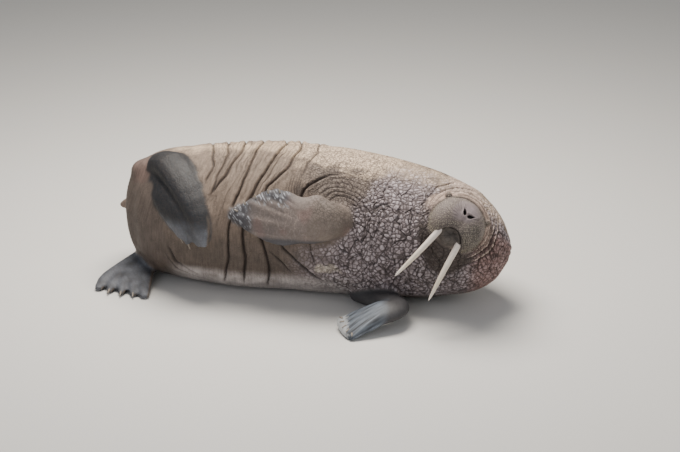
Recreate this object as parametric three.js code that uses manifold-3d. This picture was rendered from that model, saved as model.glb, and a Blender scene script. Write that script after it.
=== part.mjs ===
// A bull walrus dozing on its left side, life size.
// Millimetres, +Z up, +X towards the head, -Y the side that the belly faces.
// The origin is a point of the floor under the ribs, where the animal's weight rests.

import * as THREE from 'three';
import Module from 'manifold-3d';

const wasm = await Module();
wasm.setup();

const { PI, sin, cos, abs, sign, max, exp, log, sqrt, hypot } = Math;
const TAU = 2 * PI;

// Driving dimensions of the trunk. Each station is a slice across the backbone:
// its centre, its half-width along the floor and its half-height.
const TRUNK = [
  { at: [-1300, 205, 420], wide: 285, high: 375 }, // tail end, ankles at its top and bottom
  { at: [-1210, 168, 428], wide: 378, high: 422 }, // hips
  { at: [-1060, 112, 440], wide: 440, high: 448 }, // groin
  { at: [-880, 58, 456], wide: 488, high: 466 }, // loin
  { at: [-640, 14, 462], wide: 532, high: 484 }, // hind belly
  { at: [-350, -5, 462], wide: 550, high: 488 }, // belly
  { at: [-60, -75, 458], wide: 528, high: 483 }, // ribs
  { at: [200, -150, 452], wide: 500, high: 466 }, // chest
  { at: [430, -235, 444], wide: 468, high: 442 }, // shoulders
  { at: [620, -320, 434], wide: 432, high: 414 }, // breast
  { at: [770, -385, 424], wide: 388, high: 374 }, // bend of the neck
  { at: [880, -425, 406], wide: 340, high: 332 }, // nape
  { at: [975, -448, 392], wide: 284, high: 280 },
  { at: [1055, -462, 382], wide: 212, high: 208 }, // bend of skin behind the nape
  { at: [1100, -467, 377], wide: 146, high: 144 },
  { at: [1126, -470, 374], wide: 82, high: 80 },
];
const TRUNK_SIDES = 38;
const RUMP_DOME = 150;
const NAPE_DOME = 12;
const UPPER_SQUARENESS = 2.08;
const LOWER_SQUARENESS = 2.4; // the soft underside spreads on the floor

// Creases that ring the flank. Each is named by where it crosses the top of the trunk,
// and runs tailwards by CREASE_SLANT on its way down to the groin.
const CREASES = [-1010, -880, -760, -639, -517, -380, -252, -120];
const CREASE_SLANT = 215;
const SLANT_STARTS = [-1330, -900]; // along the body, from none to the full slant
const SLANT_ENDS = [-200, 260]; // and back to none at the shoulder
const CREASE_DEPTH = 15;
const CREASE_HALF_WIDTH = 22;
const SMOOTH_SPACING = 56; // between slices where the skin has no creases

// The shoulder of the upper foreflipper, a mass under the skin behind the armpit fold.
const SHOULDER = { at: [112, -352, 604], radii: [246, 226, 212] };

// The head's own frame: the point in the middle of the muzzle, the way that the nose
// points, and the way to the top of the head. The neck bends a right angle to the trunk.
const MUZZLE = new THREE.Vector3(768, -800, 712);
const NOSE_PITCH = THREE.MathUtils.degToRad(22);
const HEAD_TILT = THREE.MathUtils.degToRad(36);

// Slices of the neck and head, in the head's frame: forward, left, up.
const NECK = [
  { at: [-470, 0, -118], wide: 352, high: 352 }, // sunk in the bend of the neck
  { at: [-400, 0, -98], wide: 344, high: 344 },
  { at: [-310, 0, -68], wide: 312, high: 314 },
  { at: [-225, 0, -38], wide: 266, high: 266 }, // jowls
  { at: [-160, 0, -16], wide: 232, high: 230 },
  { at: [-112, 0, -4], wide: 206, high: 200 }, // eyes
  { at: [-70, 0, 2], wide: 182, high: 174 }, // behind the muzzle
];
const NECK_RINGS = 14;
const NECK_SIDES = 32;
const HEAD_CUT = -225; // where the head node ends and the neck node starts

// The muzzle's cushions, each an ellipsoid in the head's frame.
const MUZZLE_LOBES = [
  { at: [-12, -86, -18], radii: [108, 100, 126] }, // right whisker pad
  { at: [-12, 86, -18], radii: [108, 100, 126] }, // left whisker pad
  { at: [-16, 0, 48], radii: [104, 142, 104] }, // nose
  { at: [-22, 0, -48], radii: [104, 96, 90] }, // upper lip
  { at: [-110, 0, 4], radii: [106, 176, 164] }, // cheeks
];
const MUZZLE_CENTRE = new THREE.Vector3(-60, 0, 10);
const MUZZLE_BLEND = 14;
const CHIN = { at: [-34, 2, -116], radii: [90, 60, 66] }; // lower lip
const MOUTH = { at: [4, 2, -126], radii: [120, 67, 74] }; // the arch that the lower lip fills
const NOSTRIL = { at: [72, 26, 78], radii: [30, 10, 24], slant: 42 };

// Tusks, in the head's frame for the left one; the right one mirrors it.
const TUSK = [
  { at: [22, 70, -70], wide: 20, high: 23 }, // root, inside the pad
  { at: [34, 80, -142], wide: 21, high: 24 }, // where it leaves the pad
  { at: [46, 96, -270], wide: 19, high: 22 },
  { at: [44, 113, -388], wide: 15, high: 17 },
  { at: [30, 129, -488], wide: 8.5, high: 9.5 },
];
const TUSK_TIP = 34;
const FIT_GAP = 0.35; // clearance where separate pieces meet

const EYE = { at: [-104, 156, 109], radius: 20 };
const LID = { radii: [33, 23, 23], inward: 5 };

// Right foreflipper, laid back over the flank. Slices run from the elbow to the tip:
// half-widths to the leading and to the trailing edge, half-thickness, and the way that
// the broad outer side faces.
const FLANK_OUT = [0, -0.93, 0.37];
const FOREFLIPPER_RIGHT = [
  { at: [14, -550, 632], lead: 98, trail: 98, thick: 92, face: FLANK_OUT }, // elbow
  { at: [-60, -612, 653], lead: 138, trail: 128, thick: 86, face: FLANK_OUT },
  { at: [-155, -612, 660], lead: 168, trail: 172, thick: 72, face: FLANK_OUT }, // forearm
  { at: [-258, -590, 660], lead: 176, trail: 145, thick: 58, face: FLANK_OUT }, // wrist
  { at: [-375, -562, 655], lead: 198, trail: 198, thick: 44, face: FLANK_OUT }, // palm
  { at: [-480, -548, 652], lead: 172, trail: 196, thick: 35, face: FLANK_OUT }, // knuckles
  { at: [-600, -522, 650], lead: 116, trail: 130, thick: 27, face: FLANK_OUT }, // digits
  { at: [-700, -496, 652], lead: 50, trail: 52, thick: 19, face: FLANK_OUT }, // tip
];

const FLANK_BEND = 1 / 1500; // it bends round the flank
const FOREFLIPPER_RIGHT_MESH = { rings: 26, sides: 16, endDome: 38 };
const SCALLOPS = { count: 4.5, start: 0.45, depth: 0.09 }; // digit ends along the trailing edge

// Left foreflipper, out from under the breast and bent back at the wrist.
const FOREARM_LEFT = [
  { at: [140, -420, 70], lead: 110, trail: 110, thick: 72, face: [0, 0, 1] }, // elbow
  { at: [290, -610, 84], lead: 98, trail: 98, thick: 70, face: [0, 0, 1] },
  { at: [388, -775, 110], lead: 78, trail: 78, thick: 62, face: [0, 0, 1] }, // wrist
];
const HAND_LEFT = [
  { at: [392, -775, 108], lead: 78, trail: 78, thick: 60, face: [-0.1, -0.2, 1] },
  { at: [345, -865, 125], lead: 98, trail: 98, thick: 55, face: [-0.1, -0.3, 0.95] },
  { at: [245, -898, 113], lead: 118, trail: 114, thick: 49, face: [-0.25, -0.3, 0.9] },
  { at: [130, -938, 75], lead: 132, trail: 128, thick: 39, face: [-0.3, -0.28, 0.9] },
  { at: [24, -975, 34], lead: 140, trail: 136, thick: 23, face: [-0.3, -0.27, 0.9] },
];
// Where the hand is parted from the forearm, and the way that the hand sets out from there.
const WRIST_LEFT = { at: [385, -785, 110], way: [-0.45, -0.87, 0.2] };

// Right hind flipper, a half-closed fan that hangs from the ankle over the groin.
const HIND_DIGITS_RIGHT = [
  [ // first digit, the broad one
    { at: [-1236, 26, 802], lead: 100, trail: 100, thick: 88, face: [0, -0.3, 0.95] },
    { at: [-1146, -62, 846], lead: 124, trail: 124, thick: 74, face: [0.1, -0.5, 0.87] },
    { at: [-1046, -228, 792], lead: 124, trail: 124, thick: 60, face: [0.1, -0.72, 0.69] },
    { at: [-970, -376, 684], lead: 96, trail: 96, thick: 48, face: [0.1, -0.9, 0.45] },
    { at: [-920, -474, 552], lead: 64, trail: 64, thick: 36, face: [0, -0.99, 0.15] },
    { at: [-900, -504, 440], lead: 36, trail: 36, thick: 24, face: [0, -1, -0.05] },
  ],
  [ // fifth digit
    { at: [-1240, 0, 760], lead: 70, trail: 70, thick: 70, face: [0, -0.4, 0.9] },
    { at: [-1112, -280, 674], lead: 66, trail: 66, thick: 46, face: [0, -0.78, 0.62] },
    { at: [-1012, -416, 552], lead: 54, trail: 54, thick: 36, face: [0, -0.95, 0.3] },
    { at: [-936, -478, 434], lead: 32, trail: 32, thick: 22, face: [0, -1, 0.05] },
  ],
  [ // middle digits
    { at: [-1240, -60, 735], lead: 60, trail: 60, thick: 58, face: [0, -0.6, 0.8] },
    { at: [-1153, -272, 646], lead: 54, trail: 54, thick: 46, face: [0, -0.86, 0.5] },
    { at: [-1053, -402, 520], lead: 46, trail: 46, thick: 34, face: [0, -0.97, 0.25] },
    { at: [-1014, -444, 432], lead: 26, trail: 26, thick: 20, face: [0, -1, 0] },
  ],
  [
    { at: [-1250, -50, 715], lead: 56, trail: 56, thick: 56, face: [0, -0.7, 0.7] },
    { at: [-1197, -240, 632], lead: 50, trail: 50, thick: 44, face: [0, -0.86, 0.5] },
    { at: [-1115, -350, 536], lead: 42, trail: 42, thick: 32, face: [0, -0.98, 0.15] },
    { at: [-1066, -410, 458], lead: 24, trail: 24, thick: 19, face: [0, -1, 0] },
  ],
];

// Left hind flipper, flat on the floor beside the tail end.
const HIND_DIGITS_LEFT = [
  [
    { at: [-1280, 150, 120], lead: 80, trail: 80, thick: 80, face: [0, 0, 1] },
    { at: [-1330, 0, 84], lead: 70, trail: 70, thick: 56, face: [0, 0, 1] },
    { at: [-1332, -220, 50], lead: 58, trail: 58, thick: 38, face: [0, 0, 1] },
    { at: [-1318, -400, 24], lead: 38, trail: 38, thick: 22, face: [0, 0, 1] },
  ],
  [
    { at: [-1300, 140, 110], lead: 70, trail: 70, thick: 60, face: [0, 0, 1] },
    { at: [-1385, -60, 70], lead: 60, trail: 60, thick: 46, face: [0, 0, 1] },
    { at: [-1400, -250, 44], lead: 46, trail: 46, thick: 32, face: [0, 0, 1] },
    { at: [-1398, -372, 24], lead: 28, trail: 28, thick: 20, face: [0, 0, 1] },
  ],
  [
    { at: [-1320, 130, 105], lead: 70, trail: 70, thick: 60, face: [0, 0, 1] },
    { at: [-1430, -60, 66], lead: 56, trail: 56, thick: 44, face: [0, 0, 1] },
    { at: [-1470, -240, 42], lead: 44, trail: 44, thick: 30, face: [0, 0, 1] },
    { at: [-1480, -350, 24], lead: 26, trail: 26, thick: 20, face: [0, 0, 1] },
  ],
  [
    { at: [-1330, 130, 100], lead: 70, trail: 70, thick: 60, face: [0, 0, 1] },
    { at: [-1475, -50, 62], lead: 54, trail: 54, thick: 42, face: [0, 0, 1] },
    { at: [-1540, -205, 40], lead: 44, trail: 44, thick: 30, face: [0, 0, 1] },
    { at: [-1562, -312, 24], lead: 26, trail: 26, thick: 20, face: [0, 0, 1] },
  ],
  [
    { at: [-1340, 140, 100], lead: 74, trail: 74, thick: 62, face: [0, 0, 1] },
    { at: [-1500, -10, 62], lead: 60, trail: 60, thick: 44, face: [0, 0, 1] },
    { at: [-1600, -150, 42], lead: 54, trail: 54, thick: 34, face: [0, 0, 1] },
    { at: [-1640, -265, 24], lead: 36, trail: 36, thick: 22, face: [0, 0, 1] },
  ],
];
const CLAWED_RIGHT = [2, 3]; // which of the digits above carry a long claw
const CLAWED_LEFT = [1, 2, 3];

const TAIL = [
  { at: [-1400, 262, 430], lead: 70, trail: 70, thick: 46, face: [0, -1, 0] },
  { at: [-1475, 285, 420], lead: 52, trail: 52, thick: 30, face: [0, -1, 0] },
  { at: [-1520, 298, 408], lead: 30, trail: 30, thick: 18, face: [0, -1, 0] },
];

// Heel of the upper hind limb, drawn up beside the tail end.
const HEEL = { at: [-1322, 105, 735], radii: [118, 105, 92] };

// Where the trunk is divided into nodes.
const CUT_HINDQUARTERS = -905;
const CUT_BELLY = -300;
const CUT_CHEST = 480;

const SKIN_TAN = '#8d7860';
const SKIN_CHEST = '#77655c';
const SKIN_FACE = '#6f685c';
const FLIPPER_GREY = '#53555a';
const IVORY = '#d9cfc0';
const EYE_BROWN = '#2a1a12';

// Short stiff whiskers, in rows over each pad. Polar angles are from the way that the
// nose points, turns from the left pad's outer side towards the crown.
const WHISKER = { length: 24, radius: 3, rows: [34, 48, 62, 76], turns: [-66, -46, -26, -6, 14] };
const WHISKER_STAGGER = 9; // degrees by which every second row is turned
const WHISKER_DROOP = 0.35;

// Claws: small ones on the outer face of the foreflippers, set back from the edge, and
// longer ones at the ends of the hind flippers' middle digits.
const CLAW = { radius: 8, length: 30, longLength: 64, sides: 5 };
const FORE_CLAWS_RIGHT = [
  { t: 0.97, reach: 0.35 },
  { t: 0.9, reach: 0.72 },
  { t: 0.81, reach: 0.8 },
  { t: 0.71, reach: 0.82 },
  { t: 0.6, reach: 0.82 },
];
const FORE_CLAWS_LEFT = [
  { t: 0.95, reach: -0.72 },
  { t: 0.96, reach: -0.36 },
  { t: 0.96, reach: 0 },
  { t: 0.95, reach: 0.38 },
  { t: 0.93, reach: 0.72 },
];

// Shared helpers

const vector = (list) => new THREE.Vector3(...list);
const curve = (points) => new THREE.CatmullRomCurve3(points, false, 'catmullrom', 0.5);

// Turns rings of points, first pole and last pole into a closed solid.
function closedLoft(rings, firstPole, lastPole) {
  const sides = rings[0].length;
  const points = [firstPole, ...rings.flat(), lastPole];
  const last = points.length - 1;
  const faces = [];
  const at = (ring, side) => 1 + ring * sides + (side % sides);
  for (let side = 0; side < sides; side += 1) {
    faces.push(0, at(0, side + 1), at(0, side));
    faces.push(last, at(rings.length - 1, side), at(rings.length - 1, side + 1));
    for (let ring = 0; ring < rings.length - 1; ring += 1) {
      faces.push(at(ring, side), at(ring, side + 1), at(ring + 1, side));
      faces.push(at(ring, side + 1), at(ring + 1, side + 1), at(ring + 1, side));
    }
  }
  return solidOf(points, faces);
}

function solidOf(points, faces) {
  const turned = signedVolume(points, faces) < 0 ? faces.slice().reverse() : faces;
  const vertProperties = new Float32Array(points.flatMap((p) => [p.x, p.y, p.z]));
  const triVerts = new Uint32Array(turned);
  return new wasm.Manifold(new wasm.Mesh({ numProp: 3, vertProperties, triVerts }));
}

function signedVolume(points, faces) {
  const cross = new THREE.Vector3();
  let total = 0;
  for (let i = 0; i < faces.length; i += 3) {
    cross.crossVectors(points[faces[i + 1]], points[faces[i + 2]]);
    total += points[faces[i]].dot(cross) / 6;
  }
  return total;
}

function largest(solid) {
  const pieces = solid.decompose();
  return pieces.reduce((best, piece) => (piece.volume() > best.volume() ? piece : best));
}

const union = (solids) => solids.reduce((sum, solid) => sum.add(solid));

// A limb or a body: slices at steps along a path, with rounded ends. The sizes of a slice
// are read as one vector, and outline() turns an angle and those sizes into the slice's
// offsets across the path and out of it. lean() moves each point of a slice along the path.
function limb({
  path, sizes, frameAt, outline, steps, sides, startDome, endDome, shape = same, lean = upright,
}) {
  const slices = steps.map((t) => ({ t, shift: 0, scale: 1 }));
  for (let step = 1; step < DOME_STEPS; step += 1) {
    const angle = (PI / 2) * (step / DOME_STEPS);
    slices.unshift({ t: 0, shift: -startDome * sin(angle), scale: cos(angle) });
    slices.push({ t: 1, shift: endDome * sin(angle), scale: cos(angle) });
  }
  const centreOf = (t, shift) => path.getPoint(t).addScaledVector(frameAt(t).along, shift);
  const place = (slice, angle) => {
    const t = lean(slice.t, angle);
    const frame = frameAt(t);
    const [across, out] = outline(angle, sizes.getPoint(t), slice.t);
    const point = centreOf(t, slice.shift)
      .addScaledVector(frame.across, across * slice.scale)
      .addScaledVector(frame.out, out * slice.scale);
    return shape(point);
  };
  const angles = Array.from({ length: sides }, (_, side) => (TAU * side) / sides);
  const loops = slices.map((slice) => angles.map((angle) => place(slice, angle)));
  return closedLoft(loops, shape(centreOf(0, -startDome)), shape(centreOf(1, endDome)));
}

const DOME_STEPS = 4;
const same = (point) => point;
const upright = (t) => t;
const evenSteps = (count) => Array.from({ length: count + 1 }, (_, step) => step / count);

// A frame whose "across" stays level: towards the belly side of the trunk.
function levelFrame(path) {
  return (t) => {
    const along = path.getTangent(t);
    const across = new THREE.Vector3().crossVectors(along, new THREE.Vector3(0, 0, 1)).normalize();
    const out = new THREE.Vector3().crossVectors(across, along);
    return { along, across, out };
  };
}

function onFloor(point) {
  point.z = max(point.z, 0);
  return point;
}

const power = (value, exponent) => sign(value) * abs(value) ** exponent;

// Trunk

const { smoothstep } = THREE.MathUtils;

// How far the creases run tailwards of where they cross the top, at an angle of the slice.
function creaseLean(x, angle) {
  const down = smoothstep(cos(angle), -0.1, 0.95);
  const grown = smoothstep(x, ...SLANT_STARTS) * (1 - smoothstep(x, ...SLANT_ENDS));
  return CREASE_SLANT * down * grown;
}

// Where the slices cross the top: both shoulders and the bed of each crease, a swell
// between two creases, and even steps over the smooth chest and rump.
function trunkPlaces() {
  const first = TRUNK[0].at[0];
  const last = TRUNK[TRUNK.length - 1].at[0];
  const places = [];
  CREASES.forEach((x, i) => {
    places.push(x - CREASE_HALF_WIDTH, x, x + CREASE_HALF_WIDTH);
    if (i > 0) places.push((x + CREASES[i - 1]) / 2);
  });
  const spans = [[first, CREASES[0]], [CREASES[CREASES.length - 1], last]];
  spans.forEach(([low, high]) => {
    const count = Math.round((high - low) / SMOOTH_SPACING);
    for (let i = 1; i < count; i += 1) places.push(low + ((high - low) * i) / count);
  });
  return [first, ...places.sort((p, q) => p - q), last];
}

function makeTrunk(grow) {
  const path = curve(TRUNK.map((s) => vector(s.at)));
  const sizes = curve(TRUNK.map((s) => new THREE.Vector3(s.wide + grow, s.high + grow, 0)));
  const placeOf = (t) => path.getPoint(t).x;
  const stepOf = (x) => {
    let low = 0;
    let high = 1;
    for (let i = 0; i < 40; i += 1) {
      const middle = (low + high) / 2;
      if (placeOf(middle) < x) low = middle;
      else high = middle;
    }
    return (low + high) / 2;
  };
  const depthAt = (x) => CREASES.reduce(
    (sum, top) => sum + CREASE_DEPTH * exp(-(((x - top) / CREASE_HALF_WIDTH) ** 2) * 1.6),
    0,
  );
  const outline = (angle, size, t) => {
    const squareness = sin(angle) < 0 ? LOWER_SQUARENESS : UPPER_SQUARENESS;
    const across = power(cos(angle), 2 / squareness) * size.x;
    const up = power(sin(angle), 2 / squareness) * size.y;
    const keep = 1 - depthAt(placeOf(t)) / hypot(across, up);
    return [across * keep, up * keep];
  };
  return limb({
    path,
    sizes,
    frameAt: levelFrame(path),
    outline,
    steps: [0, ...trunkPlaces().slice(1, -1).map(stepOf), 1],
    sides: TRUNK_SIDES,
    startDome: RUMP_DOME + grow,
    endDome: NAPE_DOME + grow,
    shape: grow > 0 ? same : onFloor,
    lean: (t, angle) => stepOf(placeOf(t) - creaseLean(placeOf(t), angle)),
  });
}

// A ball in one direction per row and column, pushed out by reach(direction).
function starSolid(centre, rows, columns, reach) {
  const point = (polar, turn) => {
    const way = new THREE.Vector3(cos(polar), sin(polar) * cos(turn), sin(polar) * sin(turn));
    return centre.clone().addScaledVector(way, reach(way));
  };
  const rings = [];
  for (let row = 1; row < rows; row += 1) {
    const ring = [];
    for (let column = 0; column < columns; column += 1) {
      ring.push(point((PI * row) / rows, (TAU * column) / columns));
    }
    rings.push(ring);
  }
  return closedLoft(rings, point(0, 0), point(PI, 0));
}

function ellipsoid({ at, radii }, grow = 0, rows = 8, columns = 14) {
  const reach = (way) => 1 / hypot(
    way.x / (radii[0] + grow),
    way.y / (radii[1] + grow),
    way.z / (radii[2] + grow),
  );
  return starSolid(vector(at), rows, columns, reach);
}

// Head

const NOSE = new THREE.Vector3(0, -cos(NOSE_PITCH), sin(NOSE_PITCH));
const LEVEL_UP = new THREE.Vector3(0, sin(NOSE_PITCH), cos(NOSE_PITCH));
const CROWN = new THREE.Vector3(sin(HEAD_TILT), 0, 0).addScaledVector(LEVEL_UP, cos(HEAD_TILT));
const LEFT = new THREE.Vector3().crossVectors(CROWN, NOSE);
const HEAD_FRAME = new THREE.Matrix4().makeBasis(NOSE, LEFT, CROWN).setPosition(MUZZLE);

const toHead = (solid) => solid.transform(HEAD_FRAME.toArray());

function makeNeck() {
  const path = curve(NECK.map((s) => vector(s.at)));
  const sizes = curve(NECK.map((s) => new THREE.Vector3(s.wide, s.high, 0)));
  return limb({
    path,
    sizes,
    frameAt: levelFrame(path),
    outline: (angle, size) => [cos(angle) * size.x, sin(angle) * size.y],
    steps: evenSteps(NECK_RINGS),
    sides: NECK_SIDES,
    startDome: 200,
    endDome: 60,
  });
}

// How far a ray from inside an ellipsoid runs before it leaves it.
function exitDistance(from, way, { at, radii }) {
  const start = [from.x - at[0], from.y - at[1], from.z - at[2]].map((v, i) => v / radii[i]);
  const step = [way.x, way.y, way.z].map((v, i) => v / radii[i]);
  const dot = (p, q) => p[0] * q[0] + p[1] * q[1] + p[2] * q[2];
  const a = dot(step, step);
  const b = dot(start, step);
  const c = dot(start, start) - 1;
  return (-b + sqrt(max(b * b - a * c, 0))) / a;
}

function muzzleReach(way) {
  const reaches = MUZZLE_LOBES.map((lobe) => exitDistance(MUZZLE_CENTRE, way, lobe));
  const total = reaches.reduce((sum, reach) => sum + exp(reach / MUZZLE_BLEND), 0);
  return MUZZLE_BLEND * log(total);
}

const makeMuzzle = () => starSolid(MUZZLE_CENTRE, 16, 28, muzzleReach);

// A spike with a few sides, its foot a little below the surface that it stands on.
function spike(foot, way, radius, length, sides) {
  const side = new THREE.Vector3().crossVectors(way, new THREE.Vector3(0.3, 0.5, 0.8)).normalize();
  const other = new THREE.Vector3().crossVectors(way, side);
  const ring = Array.from({ length: sides }, (_, i) => foot.clone()
    .addScaledVector(side, radius * cos((TAU * i) / sides))
    .addScaledVector(other, radius * sin((TAU * i) / sides)));
  return closedLoft([ring], foot.clone(), foot.clone().addScaledVector(way, length));
}

function makeWhiskers(side) {
  const spikes = [];
  WHISKER.rows.forEach((polar, row) => WHISKER.turns.forEach((turn) => {
    const tilt = THREE.MathUtils.degToRad(polar);
    const round = THREE.MathUtils.degToRad(turn + (row % 2) * WHISKER_STAGGER);
    const way = new THREE.Vector3(
      cos(tilt),
      sin(tilt) * cos(round) * side,
      sin(tilt) * sin(round),
    );
    const foot = MUZZLE_CENTRE.clone().addScaledVector(way, muzzleReach(way) - 5);
    const lie = way.clone().add(new THREE.Vector3(0, 0, -WHISKER_DROOP)).normalize();
    spikes.push(spike(foot, lie, WHISKER.radius, WHISKER.length, 4));
  }));
  return union(spikes);
}

function mirrored(place, side) {
  return [place[0], place[1] * side, place[2]];
}

function makeNostril(side) {
  const { at, radii, slant } = NOSTRIL;
  const slot = ellipsoid({ at: [0, 0, 0], radii }, 0, 6, 10);
  return slot.rotate([-slant * side, 0, 0]).translate(mirrored(at, side));
}

function makeTusk(side, grow) {
  const path = curve(TUSK.map((s) => vector(mirrored(s.at, side))));
  const sizes = curve(TUSK.map((s) => new THREE.Vector3(s.wide + grow, s.high + grow, 0)));
  const frameAt = (t) => {
    const along = path.getTangent(t);
    const ahead = new THREE.Vector3(1, 0, 0);
    const across = new THREE.Vector3().crossVectors(along, ahead).normalize();
    return { along, across, out: new THREE.Vector3().crossVectors(across, along) };
  };
  return limb({
    path,
    sizes,
    frameAt,
    outline: (angle, size) => [cos(angle) * size.x, sin(angle) * size.y],
    steps: evenSteps(9),
    sides: 10,
    startDome: 10 + grow,
    endDome: TUSK_TIP + grow,
  });
}

function makeEye(side, grow) {
  const { at, radius } = EYE;
  return ellipsoid({ at: mirrored(at, side), radii: [radius, radius, radius] }, grow, 7, 12);
}

function makeLid(side) {
  const [ahead, aside, above] = EYE.at;
  const place = mirrored([ahead, aside - LID.inward, above - LID.inward / 2], side);
  return ellipsoid({ at: place, radii: LID.radii });
}

// Flippers: flat slices whose two half-widths differ, thick at the leading edge.
function paddleFrame(stations) {
  const path = curve(stations.map((s) => vector(s.at)));
  const sizes = curve(stations.map((s) => new THREE.Vector3(s.lead, s.trail, s.thick)));
  const faces = curve(stations.map((s) => vector(s.face)));
  const frameAt = (t) => {
    const along = path.getTangent(t);
    const across = new THREE.Vector3().crossVectors(along, faces.getPoint(t)).normalize();
    return { along, across, out: new THREE.Vector3().crossVectors(across, along) };
  };
  return { path, sizes, frameAt };
}

function paddle(stations, { rings, sides, endDome, startDome = 40, droop = 0, edge }) {
  const outline = (angle, size, t) => {
    const reach = cos(angle) > 0 ? size.y * edge(t) : size.x;
    const across = power(cos(angle), 0.9) * reach;
    const sag = (across * across * droop) / 2;
    return [across, sin(angle) * size.z - sag];
  };
  return limb({
    ...paddleFrame(stations),
    outline,
    steps: evenSteps(rings),
    sides,
    startDome,
    endDome,
    shape: onFloor,
  });
}

// Claws on the broad outer face, each pointing out over the trailing edge.
function foreClaws(stations, claws, droop) {
  const { path, sizes, frameAt } = paddleFrame(stations);
  return union(claws.map(({ t, reach }) => {
    const { along, across, out } = frameAt(t);
    const size = sizes.getPoint(t);
    const aside = size.y * reach;
    const height = size.z * sqrt(1 - reach * reach) - (aside * aside * droop) / 2;
    const foot = path.getPoint(t).addScaledVector(across, aside).addScaledVector(out, height - 2);
    const way = across.clone().multiplyScalar(reach).addScaledVector(along, 1 - abs(reach))
      .addScaledVector(out, 0.12).normalize();
    return spike(foot, way, CLAW.radius, CLAW.length, CLAW.sides);
  }));
}

// A claw that carries on a digit's own line.
function hindClaw(stations) {
  const { path } = paddleFrame(stations);
  return spike(path.getPoint(1), path.getTangent(1), CLAW.radius, CLAW.longLength, CLAW.sides);
}

const smoothEdge = () => 1;

// Five digit tips along the outer half of the trailing edge.
const scallopedEdge = (t) => {
  const { count, start, depth } = SCALLOPS;
  const outer = smoothstep(t, start, start + 0.15);
  return 1 - depth * outer * (1 - abs(sin((PI * count * (t - start)) / (1 - start))));
};


function makeForeflipperRight() {
  return paddle(FOREFLIPPER_RIGHT, {
    ...FOREFLIPPER_RIGHT_MESH, droop: FLANK_BEND, edge: scallopedEdge,
  }).add(foreClaws(FOREFLIPPER_RIGHT, FORE_CLAWS_RIGHT, FLANK_BEND));
}

// The left limb is parted at the bent wrist, across the way that the hand sets out.
function makeLeftLimb() {
  const forearm = paddle(FOREARM_LEFT, { rings: 6, sides: 12, endDome: 60, edge: smoothEdge });
  const hand = paddle(HAND_LEFT, {
    rings: 15, sides: 14, startDome: 60, endDome: 30, edge: smoothEdge,
  });
  const whole = forearm.add(hand).add(foreClaws(HAND_LEFT, FORE_CLAWS_LEFT, 0));
  const way = vector(WRIST_LEFT.way).normalize();
  const offset = way.dot(vector(WRIST_LEFT.at));
  return {
    hand: whole.trimByPlane(way.toArray(), offset + FIT_GAP),
    forearm: whole.trimByPlane(way.clone().negate().toArray(), -offset),
  };
}

function makeFan(digits, clawed) {
  const lobes = digits.map((digit) => paddle(digit, {
    rings: 10, sides: 12, endDome: 30, edge: smoothEdge,
  }));
  return union([...lobes, ...clawed.map((which) => hindClaw(digits[which]))]);
}

const makeTail = () => paddle(TAIL, { rings: 5, sides: 12, endDome: 20, edge: smoothEdge });

// Assembly

function named(name, solid, colour, roughness) {
  const { vertProperties, triVerts } = solid.getMesh();
  const geometry = new THREE.BufferGeometry();
  geometry.setAttribute('position', new THREE.BufferAttribute(vertProperties, 3));
  geometry.setIndex(new THREE.BufferAttribute(triVerts, 1));
  geometry.computeVertexNormals();
  const material = new THREE.MeshStandardMaterial({ color: colour, roughness, metalness: 0 });
  const mesh = new THREE.Mesh(geometry, material);
  mesh.name = name;
  return mesh;
}

const wholeNeck = makeNeck();
const neckPart = toHead(wholeNeck.trimByPlane([-1, 0, 0], -(HEAD_CUT - FIT_GAP)));
const skull = wholeNeck.trimByPlane([1, 0, 0], HEAD_CUT);

const trunk = union([makeTrunk(0), neckPart, ellipsoid(HEEL), ellipsoid(SHOULDER, 0, 12, 20)]);
const trunkRoom = union([
  makeTrunk(FIT_GAP),
  neckPart,
  ellipsoid(HEEL, FIT_GAP),
  ellipsoid(SHOULDER, FIT_GAP, 12, 20),
]);

const face = union([skull, makeMuzzle(), makeLid(1), makeLid(-1)])
  .subtract(ellipsoid(MOUTH, 0, 10, 18))
  .add(ellipsoid(CHIN))
  .subtract(union([makeNostril(1), makeNostril(-1)]))
  .subtract(union([makeTusk(1, FIT_GAP), makeTusk(-1, FIT_GAP)]))
  .subtract(union([makeEye(1, FIT_GAP), makeEye(-1, FIT_GAP)]))
  .add(union([makeWhiskers(1), makeWhiskers(-1)]));

const between = (low, high) => {
  const upper = low === null ? trunk : trunk.trimByPlane([1, 0, 0], low + FIT_GAP);
  return largest(high === null ? upper : upper.trimByPlane([-1, 0, 0], -high));
};

const rooted = (solid) => largest(solid.subtract(trunkRoom));

const leftLimb = makeLeftLimb();

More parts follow.
